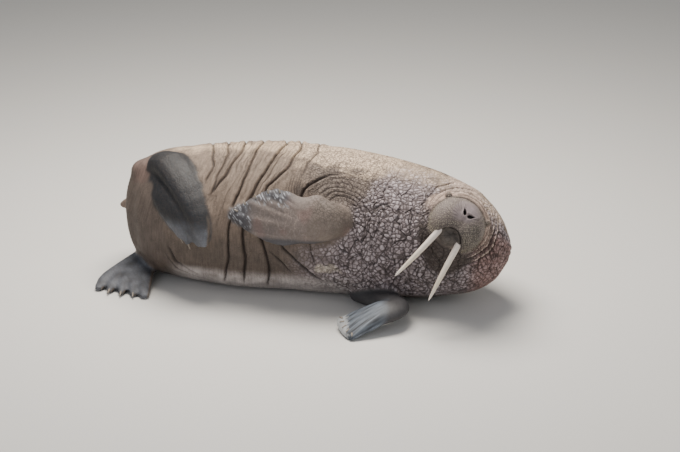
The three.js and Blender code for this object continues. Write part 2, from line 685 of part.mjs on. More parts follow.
const walrus = new THREE.Group();
walrus.add(
  named('hindquarters', between(null, CUT_HINDQUARTERS), SKIN_TAN, 0.8),
  named('belly', between(CUT_HINDQUARTERS, CUT_BELLY), SKIN_TAN, 0.8),
  named('chest', between(CUT_BELLY, CUT_CHEST), SKIN_CHEST, 0.75),
  named('neck', between(CUT_CHEST, null), SKIN_CHEST, 0.75),
  named('head', largest(toHead(face).subtract(trunkRoom)), SKIN_FACE, 0.7),
  named('tail', rooted(makeTail()), SKIN_TAN, 0.8),
  named('foreflipper_right', rooted(makeForeflipperRight()), FLIPPER_GREY, 0.6),
  named('foreflipper_left', rooted(leftLimb.hand), FLIPPER_GREY, 0.6),
  named('forearm_left', rooted(leftLimb.forearm), FLIPPER_GREY, 0.6),
  named('hindflipper_right', rooted(makeFan(HIND_DIGITS_RIGHT, CLAWED_RIGHT)), FLIPPER_GREY, 0.6),
  named('hindflipper_left', rooted(makeFan(HIND_DIGITS_LEFT, CLAWED_LEFT)), FLIPPER_GREY, 0.6),
  named('tusk_right', toHead(makeTusk(-1, 0)), IVORY, 0.45),
  named('tusk_left', toHead(makeTusk(1, 0)), IVORY, 0.45),
  named('eye_right', toHead(makeEye(-1, 0)), EYE_BROWN, 0.1),
  named('eye_left', toHead(makeEye(1, 0)), EYE_BROWN, 0.1),
);

export default walrus;
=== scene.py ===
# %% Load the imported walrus
import math
import random

import bmesh
import bpy
import numpy as np
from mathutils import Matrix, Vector, noise
from mathutils.bvhtree import BVHTree


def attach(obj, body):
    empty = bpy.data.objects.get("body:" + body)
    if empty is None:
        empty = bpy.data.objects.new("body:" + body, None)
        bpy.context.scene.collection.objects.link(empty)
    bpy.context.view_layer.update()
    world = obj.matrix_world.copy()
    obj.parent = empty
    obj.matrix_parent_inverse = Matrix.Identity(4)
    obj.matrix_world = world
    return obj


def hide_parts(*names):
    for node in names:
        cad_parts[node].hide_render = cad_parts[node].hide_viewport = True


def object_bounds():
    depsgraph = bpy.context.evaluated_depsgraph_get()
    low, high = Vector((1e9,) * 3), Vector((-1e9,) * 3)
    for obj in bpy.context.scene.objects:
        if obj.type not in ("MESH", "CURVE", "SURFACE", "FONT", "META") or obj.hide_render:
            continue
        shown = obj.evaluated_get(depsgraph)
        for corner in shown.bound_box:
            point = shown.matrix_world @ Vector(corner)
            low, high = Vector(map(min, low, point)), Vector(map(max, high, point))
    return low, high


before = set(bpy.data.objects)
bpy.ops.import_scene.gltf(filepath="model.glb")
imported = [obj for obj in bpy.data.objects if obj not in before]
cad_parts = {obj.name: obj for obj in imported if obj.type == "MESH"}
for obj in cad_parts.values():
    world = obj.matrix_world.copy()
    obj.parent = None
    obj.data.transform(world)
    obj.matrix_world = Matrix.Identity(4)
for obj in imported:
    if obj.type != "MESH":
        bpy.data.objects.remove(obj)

CAD_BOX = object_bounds()
print("solids reach", [[round(v, 3) for v in corner] for corner in CAD_BOX])

# %% [markdown]
# ## The camera
# The picture looks down a little on the animal from a long way off, so the lens is long.
# The camera comes first, because every later choice is judged in its frame. It aims at a
# point in the middle of the trunk from 15 m away, 22 degrees above the level.

# %% Camera
TARGET = Vector((0.0, -0.1, 0.4072))
DISTANCE = 15.0
LOOK_DOWN = math.radians(22)
METRES_PER_PIXEL = 0.0068
SENSOR = 36.0
IMAGE_WIDTH = 680

camera_data = bpy.data.cameras.new("long_lens")
camera_data.sensor_width = SENSOR
camera_data.lens = DISTANCE / METRES_PER_PIXEL / IMAGE_WIDTH * SENSOR
camera = bpy.data.objects.new("long_lens", camera_data)
toward = Vector((0, math.cos(LOOK_DOWN), -math.sin(LOOK_DOWN)))
camera.location = TARGET - toward * DISTANCE
camera.rotation_euler = toward.to_track_quat("-Z", "Y").to_euler()
bpy.context.scene.collection.objects.link(camera)
bpy.context.scene.camera = camera
print("lens", round(camera_data.lens, 1), "mm")

# %% [markdown]
# ## Floor and light
# A plain pale floor and soft studio light. The real animal lies under a bright open sky,
# so the broad key light hangs overhead and a weaker one fills the side that faces us.

# %% Floor and light
def linear(hex_colour):
    """An sRGB hex colour as the linear values that Blender's nodes use."""
    parts = [int(hex_colour[i:i + 2], 16) / 255 for i in (1, 3, 5)]
    return [p / 12.92 if p <= 0.04045 else ((p + 0.055) / 1.055) ** 2.4 for p in parts]


def node(tree, kind, settings=None, **links):
    """Adds a node, sets its properties, and fills its sockets with values or links."""
    made = tree.nodes.new(kind)
    for key, value in (settings or {}).items():
        setattr(made, key, value)
    for key, value in links.items():
        socket = made.inputs[int(key[1:])] if key[1:].isdigit() else made.inputs[key.replace("_", " ")]
        if isinstance(value, bpy.types.NodeSocket):
            tree.links.new(value, socket)
        else:
            socket.default_value = value
    return made


def new_material(name):
    """An empty node material and its Principled shader."""
    material = bpy.data.materials.new(name)
    material.use_nodes = True
    tree = material.node_tree
    shader = tree.nodes["Principled BSDF"]
    return material, tree, shader


floor_mesh = bpy.data.meshes.new("studio_floor")
REACH = 40.0
floor_mesh.from_pydata(
    [(-REACH, -REACH, 0), (REACH, -REACH, 0), (REACH, REACH, 0), (-REACH, REACH, 0)], [], [(0, 1, 2, 3)]
)
floor = bpy.data.objects.new("studio_floor", floor_mesh)
bpy.context.scene.collection.objects.link(floor)
paper, paper_tree, paper_shader = new_material("pale_paper")
paper_shader.inputs["Base Color"].default_value = (*linear("#d4d2ce"), 1)
paper_shader.inputs["Roughness"].default_value = 0.9
floor_mesh.materials.append(paper)


def soft_light(name, place, aim, size, power, hue="#ffffff"):
    """A square area light that points at a place."""
    data = bpy.data.lights.new(name, "AREA")
    data.shape = "SQUARE"
    data.size = size
    data.energy = power
    data.color = linear(hue)
    lamp = bpy.data.objects.new(name, data)
    lamp.location = place
    lamp.rotation_euler = (Vector(aim) - Vector(place)).to_track_quat("-Z", "Y").to_euler()
    bpy.context.scene.collection.objects.link(lamp)


soft_light("sky_key", (-0.6, 0.7, 5.2), (0, -0.1, 0.5), 3.2, 640, "#fff8ee")
soft_light("front_fill", (-3.5, -6.5, 3.2), (0, -0.1, 0.4), 4.5, 120, "#f4f6ff")
soft_light("side_fill", (5.0, -4.0, 3.0), (0.4, -0.3, 0.4), 3.5, 80, "#ffffff")

world = bpy.data.worlds.new("overcast")
world.use_nodes = True
world.node_tree.nodes["Background"].inputs["Color"].default_value = (*linear("#e9edf2"), 1)
world.node_tree.nodes["Background"].inputs["Strength"].default_value = 0.30
bpy.context.scene.world = world

# %% [markdown]
# ## One skin over all the flesh
# On the animal one hide runs without a seam from the snout to the hind flippers. The
# solids are divided into pieces, so their surfaces are poured together: a voxel remesh
# turns all of them into one closed net of even squares. The tusk and eye sockets are
# filled first, because their lids and lips are modelled finer afterwards.

# %% Head frame and tusk line
MUZZLE = np.array([0.768, -0.800, 0.712])
NOSE = np.array([0.0, -0.9272, 0.3746])
LEFT = np.array([0.8090, -0.2202, -0.5450])
CROWN = np.array([0.5878, 0.3031, 0.7501])
HEAD_AXES = np.array([NOSE, LEFT, CROWN])

TUSK_LINE = [(0.022, 0.070, -0.070), (0.034, 0.080, -0.142), (0.046, 0.096, -0.270),
             (0.044, 0.113, -0.388), (0.030, 0.129, -0.488), (0.024, 0.134, -0.521)]
TUSK_WIDE = [0.020, 0.021, 0.019, 0.015, 0.0085, 0.0016]
TUSK_HIGH = [0.023, 0.024, 0.022, 0.017, 0.0095, 0.0018]
EYE_PLACE = (-0.104, 0.156, 0.109)
EYE_RADIUS = 0.020


def from_head(points):
    """Points given as forward, left, up in the head's frame, as places in the room."""
    return MUZZLE + np.asarray(points, float) @ HEAD_AXES


def to_head(points):
    """Places in the room as forward, left, up in the head's frame."""
    return (points - MUZZLE) @ HEAD_AXES.T


def on_side(point, side):
    """A head-frame point of the left side, mirrored to the right where side is -1."""
    return (point[0], point[1] * side, point[2])


# %% Pour the flesh together
FLESH = ["hindquarters", "belly", "chest", "neck", "head", "tail", "foreflipper_right",
         "foreflipper_left", "forearm_left", "hindflipper_right", "hindflipper_left"]
FIRST_VOXEL = 0.012


def triangles_of(item):
    """Corner places and triangles of a mesh object."""
    data = item.data
    places = np.empty(len(data.vertices) * 3)
    data.vertices.foreach_get("co", places)
    data.calc_loop_triangles()
    faces = np.empty(len(data.loop_triangles) * 3, int)
    data.loop_triangles.foreach_get("vertices", faces)
    matrix = np.array(item.matrix_world)
    places = places.reshape(-1, 3) @ matrix[:3, :3].T + matrix[:3, 3]
    return places, faces.reshape(-1, 3)


def ball(centre, radius):
    """A small closed sphere, used only to fill a socket."""
    filler = bmesh.new()
    bmesh.ops.create_icosphere(filler, subdivisions=2, radius=radius)
    places = np.array([v.co[:] for v in filler.verts]) + centre
    faces = np.array([[v.index for v in f.verts] for f in filler.faces])
    filler.free()
    return places, faces


parts = [(name, *triangles_of(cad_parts[name])) for name in FLESH]
for side in (-1, 1):
    parts.append(("head", *triangles_of(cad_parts["eye_left" if side > 0 else "eye_right"])))
    for share in (0.0, 0.35, 0.7):
        root = (1 - share) * np.array(TUSK_LINE[0]) + share * np.array(TUSK_LINE[1])
        parts.append(("head", *ball(from_head(on_side(root, side)), 0.026)))

all_places, all_faces, face_owner = [], [], []
offset = 0
for name, places, faces in parts:
    all_places.append(places)
    all_faces.append(faces + offset)
    face_owner += [name] * len(faces)
    offset += len(places)
all_places = np.concatenate(all_places)
all_faces = np.concatenate(all_faces)


def make_mesh(name, places, faces):
    """A new mesh object from arrays, linked to the scene."""
    data = bpy.data.meshes.new(name)
    data.from_pydata(np.asarray(places).tolist(), [], [tuple(int(i) for i in face) for face in faces])
    made = bpy.data.objects.new(name, data)
    bpy.context.scene.collection.objects.link(made)
    return made


def settle(item):
    """Replaces an object's mesh by what its modifiers make of it."""
    graph = bpy.context.evaluated_depsgraph_get()
    done = bpy.data.meshes.new_from_object(item.evaluated_get(graph))
    item.modifiers.clear()
    item.data = done


skin = make_mesh("walrus_skin", all_places, all_faces)
remesh = skin.modifiers.new("pour", "REMESH")
remesh.mode = "VOXEL"
remesh.voxel_size = FIRST_VOXEL
settle(skin)
print("first net", len(skin.data.vertices), "points")

# %% [markdown]
# ## Smooth the net by body region
# Blubber is smooth over a hand's breadth, the muzzle only over a finger's width, and the
# flipper edges stay thin. So every point of the net learns which solid is nearest, and
# is averaged with its neighbours as many times as its region asks for.

# %% Smooth by region
def coordinates(item):
    """All points of a mesh as an array."""
    flat = np.empty(len(item.data.vertices) * 3)
    item.data.vertices.foreach_get("co", flat)
    return flat.reshape(-1, 3)


def edge_list(item):
    """All edges of a mesh as an array of point pairs."""
    flat = np.empty(len(item.data.edges) * 2, int)
    item.data.edges.foreach_get("vertices", flat)
    return flat.reshape(-1, 2)


def normals(item):
    """All point normals of a mesh as an array."""
    flat = np.empty(len(item.data.vertices) * 3)
    item.data.vertices.foreach_get("normal", flat)
    return flat.reshape(-1, 3)


def averaged(values, edges, times, rate=0.5):
    """Values averaged with their neighbours' again and again; times may differ by point."""
    count = len(values)
    values = values.reshape(count, -1).astype(float)
    valence = np.bincount(edges.ravel(), minlength=count)[:, None]
    times = np.broadcast_to(times, (count,))
    for turn in range(int(math.ceil(times.max()))):
        near = np.stack([
            np.bincount(edges[:, 0], values[edges[:, 1], k], count)
            + np.bincount(edges[:, 1], values[edges[:, 0], k], count)
            for k in range(values.shape[1])
        ], 1) / np.maximum(valence, 1)
        step = rate * np.clip(times - turn, 0, 1)[:, None]
        values += step * (near - values)
    return values


def set_places(item, places):
    """Moves all points of a mesh."""
    item.data.vertices.foreach_set("co", np.ascontiguousarray(places, dtype=np.float32).ravel())
    item.data.update()


def store(item, name, values, kind="FLOAT"):
    """Keeps one number or vector per point, for the finish to read."""
    layer = item.data.attributes.get(name) or item.data.attributes.new(name, kind, "POINT")
    key = {"FLOAT": "value", "FLOAT_VECTOR": "vector", "FLOAT_COLOR": "color"}[kind]
    layer.data.foreach_set(key, np.ascontiguousarray(values, dtype=np.float32).ravel())


def recall(item, name):
    """Reads back one stored number per point."""
    flat = np.empty(len(item.data.vertices), np.float32)
    item.data.attributes[name].data.foreach_get("value", flat)
    return flat.astype(float)


SMOOTHING = {"hindquarters": 34, "belly": 40, "chest": 34, "neck": 20, "head": 5, "tail": 4,
             "foreflipper_right": 5, "foreflipper_left": 4, "forearm_left": 6,
             "hindflipper_right": 3, "hindflipper_left": 3}
ZONES = {"on_head": ["head"], "on_neck": ["neck"], "on_chest": ["chest"],
         "on_fore_right": ["foreflipper_right"], "on_fore_left": ["foreflipper_left", "forearm_left"],
         "on_hind": ["hindflipper_right", "hindflipper_left"], "on_tail": ["tail"]}

solid_tree = BVHTree.FromPolygons(all_places.tolist(), all_faces.tolist())
places = coordinates(skin)
edges = edge_list(skin)
owner = np.array([face_owner[solid_tree.find_nearest(p)[2]] for p in places.tolist()])
wanted = averaged(np.array([SMOOTHING[name] for name in owner], float), edges, 6)[:, 0]
relaxed = averaged(places, edges, wanted)
set_places(skin, relaxed)
for zone, names in ZONES.items():
    store(skin, zone, averaged(np.isin(owner, names).astype(float), edges, 3)[:, 0])
print("smoothed; most moved", round(float(np.abs(relaxed - places).max()) * 1000), "mm")

# %% [markdown]
# ## A finer net where the picture shows detail
# One subdivision halves the squares to 6 mm, enough for the broad folds of the flank.
# The head, the flippers and the side with the folds and cracks are divided once more.

# %% Refine
TRUNK_X = np.array([-1.30, -1.21, -1.06, -0.88, -0.64, -0.35, -0.06, 0.20, 0.43, 0.62, 0.77, 0.88, 0.975])
TRUNK_Y = np.array([0.205, 0.168, 0.112, 0.058, 0.014, -0.005, -0.075, -0.150, -0.235, -0.320, -0.385,
                    -0.425, -0.448])
TRUNK_Z = np.array([0.420, 0.428, 0.440, 0.456, 0.462, 0.462, 0.458, 0.452, 0.444, 0.434, 0.424, 0.406,
                    0.392])


def step_between(low, high, values):
    """0 below low, 1 above high, and a smooth ramp between."""
    share = np.clip((values - low) / (high - low), 0, 1)
    return share * share * (3 - 2 * share)


def round_trunk(points):
    """The angle round the trunk in degrees: 0 on top, 90 towards the belly's side."""
    aside = -(points[:, 1] - np.interp(points[:, 0], TRUNK_X, TRUNK_Y))
    above = points[:, 2] - np.interp(points[:, 0], TRUNK_X, TRUNK_Z)
    return np.degrees(np.arctan2(aside, above)), np.hypot(aside, above)


subdivision = skin.modifiers.new("finer", "SUBSURF")
subdivision.levels = 1
subdivision.render_levels = 1
settle(skin)


def refine(item, wanted_points):
    """Divides once more every square whose corners are all wanted."""
    net = bmesh.new()
    net.from_mesh(item.data)
    net.verts.ensure_lookup_table()
    chosen = {f for f in net.faces if all(wanted_points[v.index] for v in f.verts)}
    lines = {e for f in chosen for e in f.edges}
    bmesh.ops.subdivide_edges(net, edges=list(lines), cuts=1, use_grid_fill=True, smooth=0.0)
    net.to_mesh(item.data)
    net.free()
    item.data.update()


places = coordinates(skin)
angle, _ = round_trunk(places)
detailed = sum(recall(skin, zone) for zone in ("on_head", "on_fore_right", "on_fore_left", "on_hind"))
near_side = (angle > -16) & (angle < 130) & (places[:, 0] > -0.97)
refine(skin, (detailed > 0.5) | near_side)
places = coordinates(skin)
eyes = [from_head(on_side(EYE_PLACE, side)) for side in (-1, 1)]
near_eye = np.min([np.linalg.norm(places - e, axis=1) for e in eyes], axis=0)
head_places = to_head(places)
near_nose = (head_places[:, 0] > 0.0) & (np.hypot(head_places[:, 1] - 0.012, head_places[:, 2]
                                                  - 0.085) < 0.07)
refine(skin, (near_eye < 0.045) | near_nose)
print("fine net", len(skin.data.vertices), "points,", len(skin.data.polygons), "faces")

# %% [markdown]
# ## Folds of the flank
# Where the trunk bends, the thick hide lies in deep folds that run from the back down
# and tailwards to the groin. Each fold is a line over the trunk: at an angle round the
# body it has a place along the body. A point near the line sinks, and the hide on both
# sides of it swells a little, as real skin does when it is pushed together.

# %% Folds of the flank
FOLDS = [  # (angle round the trunk, place along it); depth and half-width in metres
    {"line": [(-120, -0.93), (-50, -0.885), (1, -0.860), (30, -0.848), (48, -0.898)],
     "depth": 0.010, "width": 0.0074},
    {"line": [(-120, -0.80), (-40, -0.765), (14, -0.753), (26, -0.776), (45, -0.823), (59, -0.868)],
     "depth": 0.013, "width": 0.0074},
    {"line": [(-120, -0.66), (-50, -0.640), (-11, -0.639), (13, -0.671), (27, -0.714), (40, -0.758),
              (49, -0.816), (57, -0.868)], "depth": 0.016, "width": 0.0081},
    {"line": [(-120, -0.54), (-50, -0.515), (-14, -0.517), (21, -0.588), (49, -0.649), (66, -0.713),
              (79, -0.740), (103, -0.744), (132, -0.778)], "depth": 0.015, "width": 0.0074},
    {"line": [(-120, -0.41), (-50, -0.372), (-11, -0.360), (21, -0.441), (47, -0.543), (60, -0.601),
              (74, -0.634), (86, -0.638), (103, -0.631), (130, -0.645)], "depth": 0.017, "width": 0.0081},
    {"line": [(-110, -0.29), (-40, -0.262), (1, -0.263), (32, -0.352), (48, -0.476), (63, -0.541),
              (77, -0.554), (92, -0.503), (112, -0.472), (132, -0.483)], "depth": 0.015, "width": 0.0074},
    {"line": [(-100, -0.13), (-30, -0.125), (4, -0.150), (24, -0.215), (40, -0.262)],
     "depth": 0.007, "width": 0.0081},
    {"line": [(96, -0.470), (104, -0.398), (114, -0.315)], "depth": 0.009, "width": 0.0056},
    {"line": [(88, -0.40), (94, -0.370), (105, -0.265), (117, -0.160), (124, -0.040), (126, 0.05)],
     "depth": 0.014, "width": 0.0068},
    {"line": [(86, -0.205), (94, -0.193), (107, -0.160)], "depth": 0.008, "width": 0.0050},
    {"line": [(100, -1.16), (114, -1.105), (120, -1.045), (126, -0.96)], "depth": 0.012, "width": 0.0068},
    {"line": [(108, -1.18), (124, -1.10), (130, -1.00), (134, -0.9)], "depth": 0.010, "width": 0.0062},
    {"line": [(66, -0.262), (56, -0.252), (50, -0.238), (45, -0.205), (39, -0.132), (33, -0.060),
              (31, 0.0)], "depth": 0.020, "width": 0.0068},
]

places = coordinates(skin)
facing = normals(skin)
angle, radius = round_trunk(places)
along = places[:, 0]
limb = np.clip(recall(skin, "on_fore_right") + recall(skin, "on_fore_left") + recall(skin, "on_hind")
               + recall(skin, "on_head") + recall(skin, "on_tail"), 0, 1)


def rough(points, scale, seed=0.0):
    """Smooth noise from -1 to 1 whose lumps are about 1/scale metres across."""
    shift = Vector((seed * 7.3, seed * 3.1, -seed * 5.7))
    return np.array([noise.noise(Vector(p) * scale + shift) for p in points.tolist()])


wobble = rough(places, 9.0, 1.0) * 0.010 + rough(places, 30.0, 2.0) * 0.003


def fold_shape(distance, width):
    """How far a fold's line sinks the hide, and how far it swells beside the line."""
    bed = np.exp(-((distance / width) ** 2))
    swell = np.exp(-(((np.abs(distance) - 3.2 * width) / (2.4 * width)) ** 2))
    return bed, swell


sink = np.zeros(len(places))
rise = np.zeros(len(places))
hollow_shade = np.zeros(len(places))


def crease(distance, width, depth, shown, dark):
    """Lays one line into the hide: its bed, the swells beside it, and the painted shade in it."""
    bed, swell = fold_shape(distance, width)
    np.maximum(sink, shown * depth * bed, out=sink)
    np.maximum(rise, shown * depth * 0.45 * swell, out=rise)
    np.maximum(hollow_shade, shown * dark * bed, out=hollow_shade)


def lay_fold(line, depth, width, dark, sway):
    """Lays one fold over the trunk; sway moves its course a little from place to place."""
    line = sorted(line)
    turns = np.array([p[0] for p in line], float)
    xs = np.array([p[1] for p in line])
    course = np.interp(angle, turns, xs) + sway
    slope = np.interp(angle, (turns[1:] + turns[:-1]) / 2, np.diff(xs) / np.diff(np.radians(turns))) / radius
    across = (along - course) / np.sqrt(1 + slope ** 2)
    shown = step_between(turns[0] - 5, turns[0] + 9, angle) * (1
        - step_between(turns[-1] - 9, turns[-1] + 5, angle))
    crease(across, width, depth, shown * (1 - limb), dark)


for fold in FOLDS:
    lay_fold(fold["line"], fold["depth"], fold["width"], 1.0, wobble)
print("folds", len(FOLDS), "deepest", round(float(sink.max()) * 1000, 1), "mm")

# %% [markdown]
# ## Finer lines between the folds
# Between two deep folds the hide is never smooth: shallower lines run about the same way,
# start and stop anywhere, and wander more. Each lies at a share of the way from one fold
# to the next, so it keeps their lean.

# %% Fine lines between the folds
BETWEEN = [0.2, 0.38, 0.6, 0.8]
FINE_DEPTH = 0.0042
FINE_WIDTH = 0.0042


def course_at(line, turn):
    """Where a fold lies along the body at an angle round it."""
    line = sorted(line)
    return float(np.interp(turn, [p[0] for p in line], [p[1] for p in line]))


chance = random.Random(3)
wander = rough(places, 17.0, 8.0) * 0.011
fine_count = 0
for first, second in zip(FOLDS[:6], FOLDS[1:7]):
    for share in BETWEEN:
        start = chance.uniform(-75, 5)
        end = start + chance.uniform(35, 95)
        line = [(turn, (1 - share) * course_at(first["line"], turn) + share * course_at(second["line"], turn))
                for turn in np.linspace(start, min(end, 78), 7)]
        power = chance.uniform(0.5, 1.0)
        lay_fold(line, FINE_DEPTH * power, FINE_WIDTH, 0.62 * power, wobble + wander
                 * (1 if share > 0.5 else -1))
        fine_count += 1
print("fine lines", fine_count)

# %% [markdown]
# ## Rings round the shoulder
# Laying the flipper back pulls the hide of the shoulder into fine arcs, one outside the
# other, like ripples. They are arcs round the elbow, measured over the skin.

# %% Rings round the shoulder
RING_CENTRE = (0.02, 0.57)  # along the body, and down over the skin from the top line
RING_RADII = [0.145, 0.172, 0.202, 0.236, 0.275, 0.318, 0.366]
RING_DEPTH = 0.0055
RING_WIDTH = 0.005

down_skin = np.radians(angle) * 0.48
ring_x = along - RING_CENTRE[0]
ring_y = down_skin - RING_CENTRE[1]
ring_r = np.hypot(ring_x, ring_y) + wobble * 1.2
ring_turn = np.degrees(np.arctan2(-ring_y, ring_x))
ring_shown = step_between(-75, -35, ring_turn) * (1 - step_between(125, 160, ring_turn)) * (1 - limb)
for ring, size in enumerate(RING_RADII):
    crease(ring_r - size, RING_WIDTH, RING_DEPTH, ring_shown * (1 - 0.10 * ring), 0.75)
print("rings", len(RING_RADII))

# %% Armpit
ARMPIT = [-0.345, -0.328, -0.309, -0.293, -0.277]  # short wrinkles drawn into it, places along the body
for place in ARMPIT:
    lay_fold([(36, place + 0.03), (50, place + 0.006), (64, place + 0.012)], 0.0045, 0.0034, 0.7, wobble
             * 0.5)
# painted shade: a dark patch in the armpit above the flipper
armpit_shade = np.exp(-(((along + 0.275) / 0.050) ** 2) - ((angle - 52) / 9) ** 2) * (1 - limb)
for place, end in ((0.02, 58), (0.075, 52)):
    lay_fold([(30, place - 0.06), (40, place), (end, place + 0.035)], 0.006, 0.0045, 0.6, wobble)
print("armpit points", int((armpit_shade > 0.5).sum()))

# %% [markdown]
# ## The cracked hide of chest and neck
# An old bull's chest is covered in thick bosses with cracks between them, like dried
# mud. Voronoi cells give exactly that: the difference between the distances to the
# nearest and the next cell centre is zero along the cracks. Two sizes are laid over
# each other, bosses of about 30 mm and plates of about 120 mm.

# %% Cracked hide
BOSS_SIZE = 0.029
PLATE_SIZE = 0.120
BOSS_HEIGHT = 0.0050
PLATE_DEPTH = 0.007


def cells(points, size, stretch=(1, 1, 1)):
    """For each point, how far inside its cell it lies, and a random number of the cell."""
    inside = np.zeros(len(points))
    dice = np.zeros(len(points))
    for i, p in enumerate((points / size / np.array(stretch)).tolist()):
        distances, centres = noise.voronoi(p)
        inside[i] = distances[1] - distances[0]
        dice[i] = math.sin(centres[0][0] * 12.9898 + centres[0][1] * 78.233 + centres[0][2]
                           * 37.719) * 4375.5 % 1
    return inside, dice


on_head = recall(skin, "on_head")
head_places = to_head(places)
upper_border = np.interp(along, [-0.1, 0.15, 0.30, 0.42, 0.6, 0.8], [72, 50, 18, -4, -12, -16])
chest_share = step_between(-0.16, 0.10, along + wobble * 6) * step_between(
    -9, 12, angle - upper_border + wobble * 700) * (1 - step_between(118, 150, angle))
chest_share += 0.55 * step_between(-0.42, -0.1, along) * step_between(84, 97, angle) * (
    1 - step_between(122, 150, angle))
chest_share = np.clip(chest_share, 0, 1) * (1 - limb)
throat_share = on_head * step_between(-0.02, -0.12, head_places[:, 0]) * step_between(0.05, -0.06,
                                                                                      head_places[:, 2])
cracked_share = np.clip(chest_share + throat_share, 0, 1)
cracked = cracked_share > 0.02
warp = np.stack([rough(places, 12.0, k + 3.0) for k in range(2)] + [wobble], 1) * [[0.014, 0.014, 0.6]]
finer = np.stack([rough(places, 38.0, k + 20.0) for k in range(3)], 1) * 0.0065
boss, boss_dice, plate = np.ones(len(places)), np.full(len(places), 0.5), np.ones(len(places))
boss[cracked], boss_dice[cracked] = cells((places + warp + finer)[cracked], BOSS_SIZE)
plate[cracked], _ = cells((places + warp * 2.5 + finer)[cracked], PLATE_SIZE, (0.65, 1, 1.45))
calm = 1 - 0.42 * (1 - step_between(5, 45, angle))
boss_crack = (1 - step_between(0.03, 0.21, boss)) * cracked_share * calm
plate_crack = (1 - step_between(0.008, 0.062, plate)) * cracked_share * calm
bosses = cracked_share * calm * BOSS_HEIGHT * (step_between(0.0, 0.42, boss)
                                               - 0.6) - plate_crack * PLATE_DEPTH
# the cracks between bosses and plates get painted shade too
hollow_shade = np.maximum(hollow_shade, np.maximum(boss_crack * 0.85, plate_crack))
print("cracked points", int(cracked.sum()))

# %% [markdown]
# ## The head
# The muzzle is one broad cushion in the shape of a crescent. Its two ends hang down over
# the tusks, the lower lip sits under the arch between them, and two short slits of
# nostrils stand in a V on top. Behind it the hide of the neck lies in rolls. All of this
# is placed in the head's own frame: forward, left, up.

# %% Muzzle, nostrils and lip
MOUTH_ARCH = [(-0.090, -0.165), (-0.074, -0.125), (-0.053, -0.085), (-0.020, -0.058), (0.022, -0.056),
              (0.060, -0.080), (0.086, -0.112), (0.104, -0.150)]
NOSTRILS = [((-0.014, 0.080), (-0.60, 0.80), 0.0088),
            ((0.039, 0.075), (0.88, 0.47), 0.0108)]  # place, way, width
NOSTRIL_LONG = 0.023
NOSTRIL_DEPTH = 0.024
ROLLS = [(0.190, 1.0), (0.201, 0.4), (0.213, 0.9), (0.226, 0.4), (0.241, 1.0), (0.256, 0.45), (0.272, 0.8),
         (0.292, 0.4)]  # reach of each roll from the face's middle, and its strength
ROLL_DEPTH = 0.0100
ROLL_WIDTH = 0.0050
MUZZLE_EDGE = -0.078
RIPPLES = (0.024, 0.034, 0.045, 0.057, 0.070)  # distances above the line of the lip

forward, aside, above = head_places.T
face_turn = np.degrees(np.arctan2(aside, above))


def distance_to_line(x, y, line):
    """Distance in a plane from points to a line of straight stretches."""
    best = np.full(len(x), 9.0)
    for (ax, ay), (bx, by) in zip(line, line[1:]):
        share = np.clip(((x - ax) * (bx - ax) + (y - ay) * (by - ay)) / ((bx - ax) ** 2 + (by - ay) ** 2),
                        0, 1)
        best = np.minimum(best, np.hypot(x - ax - share * (bx - ax), y - ay - share * (by - ay)))
    return best


front = on_head * step_between(-0.05, 0.0, forward)
arch = distance_to_line(aside, above, MOUTH_ARCH)
arch_bed, _ = fold_shape(arch, 0.006)
inside_arch = above < np.interp(aside, [p[0] for p in MOUTH_ARCH], [p[1] for p in MOUTH_ARCH])
lip_roll = np.exp(-(((arch - 0.016) / 0.010) ** 2)) * ~inside_arch
muzzle_lift = front * (0.004 * lip_roll - 0.011 * arch_bed)
hollow_shade = np.maximum(hollow_shade, front * arch_bed)
ruffle = rough(head_places, 22.0, 2.5)
for ripple in RIPPLES:
    crease(arch - ripple + 0.005 * ruffle, 0.0030, 0.0030, front * ~inside_arch * (1 - ripple * 8), 0.5)
print("lip and", len(RIPPLES), "ripples above it")

# %% Nostrils
nostril = np.zeros(len(places))
for (centre_l, centre_u), (way_l, way_u), widest in NOSTRILS:
    far = (aside - centre_l) * way_l + (above - centre_u) * way_u
    wide = (aside - centre_l) * way_u - (above - centre_u) * way_l
    taper = widest * (1.0 - 0.55 * np.clip(far / NOSTRIL_LONG, -1, 1))
    reach = np.hypot(far / NOSTRIL_LONG, wide / taper)
    nostril = np.maximum(nostril, 1 - step_between(0.55, 1.25, reach))
    muzzle_lift += front * 0.003 * np.exp(-(((reach - 1.7) / 0.5) ** 2))
nostril *= front
muzzle_lift -= nostril * NOSTRIL_DEPTH
groove, _ = fold_shape(aside - 0.012, 0.012)
muzzle_lift -= front * groove * 0.006 * step_between(-0.05, -0.02, above) * (1
    - step_between(0.05, 0.09, above))
print("nostril points", int((nostril > 0.5).sum()))

# %% [markdown]
# ## Wrinkles that fan from the nostrils, and rolls round the face
# A walrus can close its nostrils, and the muscles that do it pull fine wrinkles across
# the upper pads. Where the neck is bent so sharply, the hide behind the muzzle stands in
# rolls, one outside the other, like the rim of a drawn-back hood.

# %% Wrinkles and rolls of the face
fan_l, fan_u = aside - 0.012, above - 0.050
fan_turn = np.degrees(np.arctan2(fan_l, fan_u))
fan_reach = np.hypot(fan_l, fan_u)
for turn in (-128, -112, -98, -86, -75, -64, -52, 62, 78, 95, 112):
    bend = (fan_turn - turn) + 26 * (fan_reach - 0.08) / 0.1 * np.sign(turn) + 7 * ruffle
    shown = front * step_between(0.045, 0.07, fan_reach) * (1 - step_between(0.12, 0.155, fan_reach))
    crease(np.radians(bend) * fan_reach, 0.0026, 0.0022, shown * (np.abs(fan_turn - turn) < 60), 0.42)

